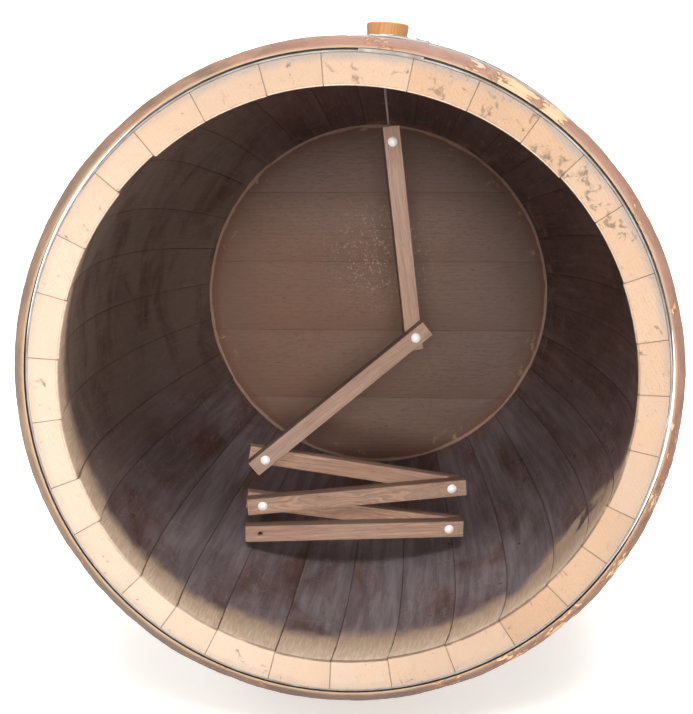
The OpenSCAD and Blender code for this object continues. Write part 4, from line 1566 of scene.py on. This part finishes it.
class BARREL_OT_stage(bpy.types.Operator):
    """Set the camera, the pale sweep behind the barrel and soft studio light"""

    bl_idname = "barrel.stage"
    bl_label = "Stage"
    bl_options = {"REGISTER", "UNDO"}

    def execute(self, context):
        settings = context.scene.barrel_stage
        camera = bpy.data.cameras.new("Camera")
        camera.lens = settings.lens
        camera.sensor_width = 36.0
        camera.clip_end = 60.0
        holder = bpy.data.objects.new("Camera", camera)
        holder.location = settings.eye
        holder.rotation_euler = (math.pi / 2 - settings.dip, 0.0, settings.turn)
        context.scene.collection.objects.link(holder)
        context.scene.camera = holder

        profile = [(-FLOOR_FRONT, 0), (FLOOR_BACK, 0)]
        for k in range(1, 7):
            a = math.radians(15 * k)
            profile.append((FLOOR_BACK + SWEEP_RADIUS * math.sin(a),
                            SWEEP_RADIUS - SWEEP_RADIUS * math.cos(a)))
        profile.append((FLOOR_BACK + SWEEP_RADIUS, SWEEP_TOP))
        sweep = outline_piece("floor", [(-FLOOR_SIDE, y, z) for y, z in profile], closed=False)
        edit(sweep)
        bpy.ops.mesh.extrude_region_move(
            TRANSFORM_OT_translate={"value": (2 * FLOOR_SIDE, 0, 0)})
        leave()
        smooth(sweep, 60.0)
        dress(sweep, floor_material(settings.floor_tone))

        world = context.scene.world or bpy.data.worlds.new("World")
        context.scene.world = world
        world.use_nodes = True
        sky = world.node_tree.nodes["Background"]
        sky.inputs[0].default_value = (1.0, 0.99, 0.97, 1.0)
        seen = world.node_tree.nodes.new("ShaderNodeLightPath").outputs["Is Camera Ray"]
        lift = world.node_tree.nodes.new("ShaderNodeMath")
        lift.operation = "MULTIPLY_ADD"
        lift.inputs[1].default_value = WORLD_SEEN - WORLD_LIGHT
        lift.inputs[2].default_value = WORLD_LIGHT
        world.node_tree.links.new(seen, lift.inputs[0])
        world.node_tree.links.new(lift.outputs[0], sky.inputs[1])
        context.scene.view_settings.view_transform = "Standard"
        for name, place, target, size, power, tint in LAMPS:
            light = bpy.data.lights.new(name, "AREA")
            light.shape = "SQUARE"
            light.size = size
            light.energy = power
            light.color = tint
            lamp = bpy.data.objects.new(name, light)
            lamp.location = place
            aim = Vector(target) - Vector(place)
            lamp.rotation_euler = aim.to_track_quat("-Z", "Y").to_euler()
            context.scene.collection.objects.link(lamp)
        return {"FINISHED"}


OPERATORS = (
    BARREL_OT_stage, BARREL_OT_staves, BARREL_OT_head, BARREL_OT_steel, BARREL_OT_chestnut,
    BARREL_OT_bung, BARREL_OT_cord, BARREL_OT_slats, BARREL_OT_pegs,
)
SETTINGS = {
    "barrel_staves": StaveSettings,
    "barrel_head": HeadSettings,
    "barrel_hoops": HoopSettings,
    "barrel_chain": ChainSettings,
    "barrel_stage": StageSettings,
}


class BARREL_PT_panel(bpy.types.Panel):
    """Lists the barrel's settings and the operators that build it"""

    bl_idname = "BARREL_PT_panel"
    bl_label = "Open barrel"
    bl_space_type = "VIEW_3D"
    bl_region_type = "UI"
    bl_category = "Barrel"

    def draw(self, context):
        layout = self.layout
        for name in SETTINGS:
            box = layout.box()
            group = getattr(context.scene, name)
            for key in group.__annotations__:
                box.prop(group, key)
        for operator in OPERATORS:
            layout.operator(operator.bl_idname)


CLASSES = (*SETTINGS.values(), *OPERATORS, BARREL_PT_panel)


def register():
    for cls in CLASSES:
        bpy.utils.register_class(cls)
    for name, cls in SETTINGS.items():
        setattr(bpy.types.Scene, name, PointerProperty(type=cls))


def unregister():
    for name in SETTINGS:
        delattr(bpy.types.Scene, name)
    for cls in reversed(CLASSES):
        bpy.utils.unregister_class(cls)


def main():
    register()
    for operator in OPERATORS:
        group, name = operator.bl_idname.split(".")
        getattr(getattr(bpy.ops, group), name)()


if __name__ == "__main__":
    main()
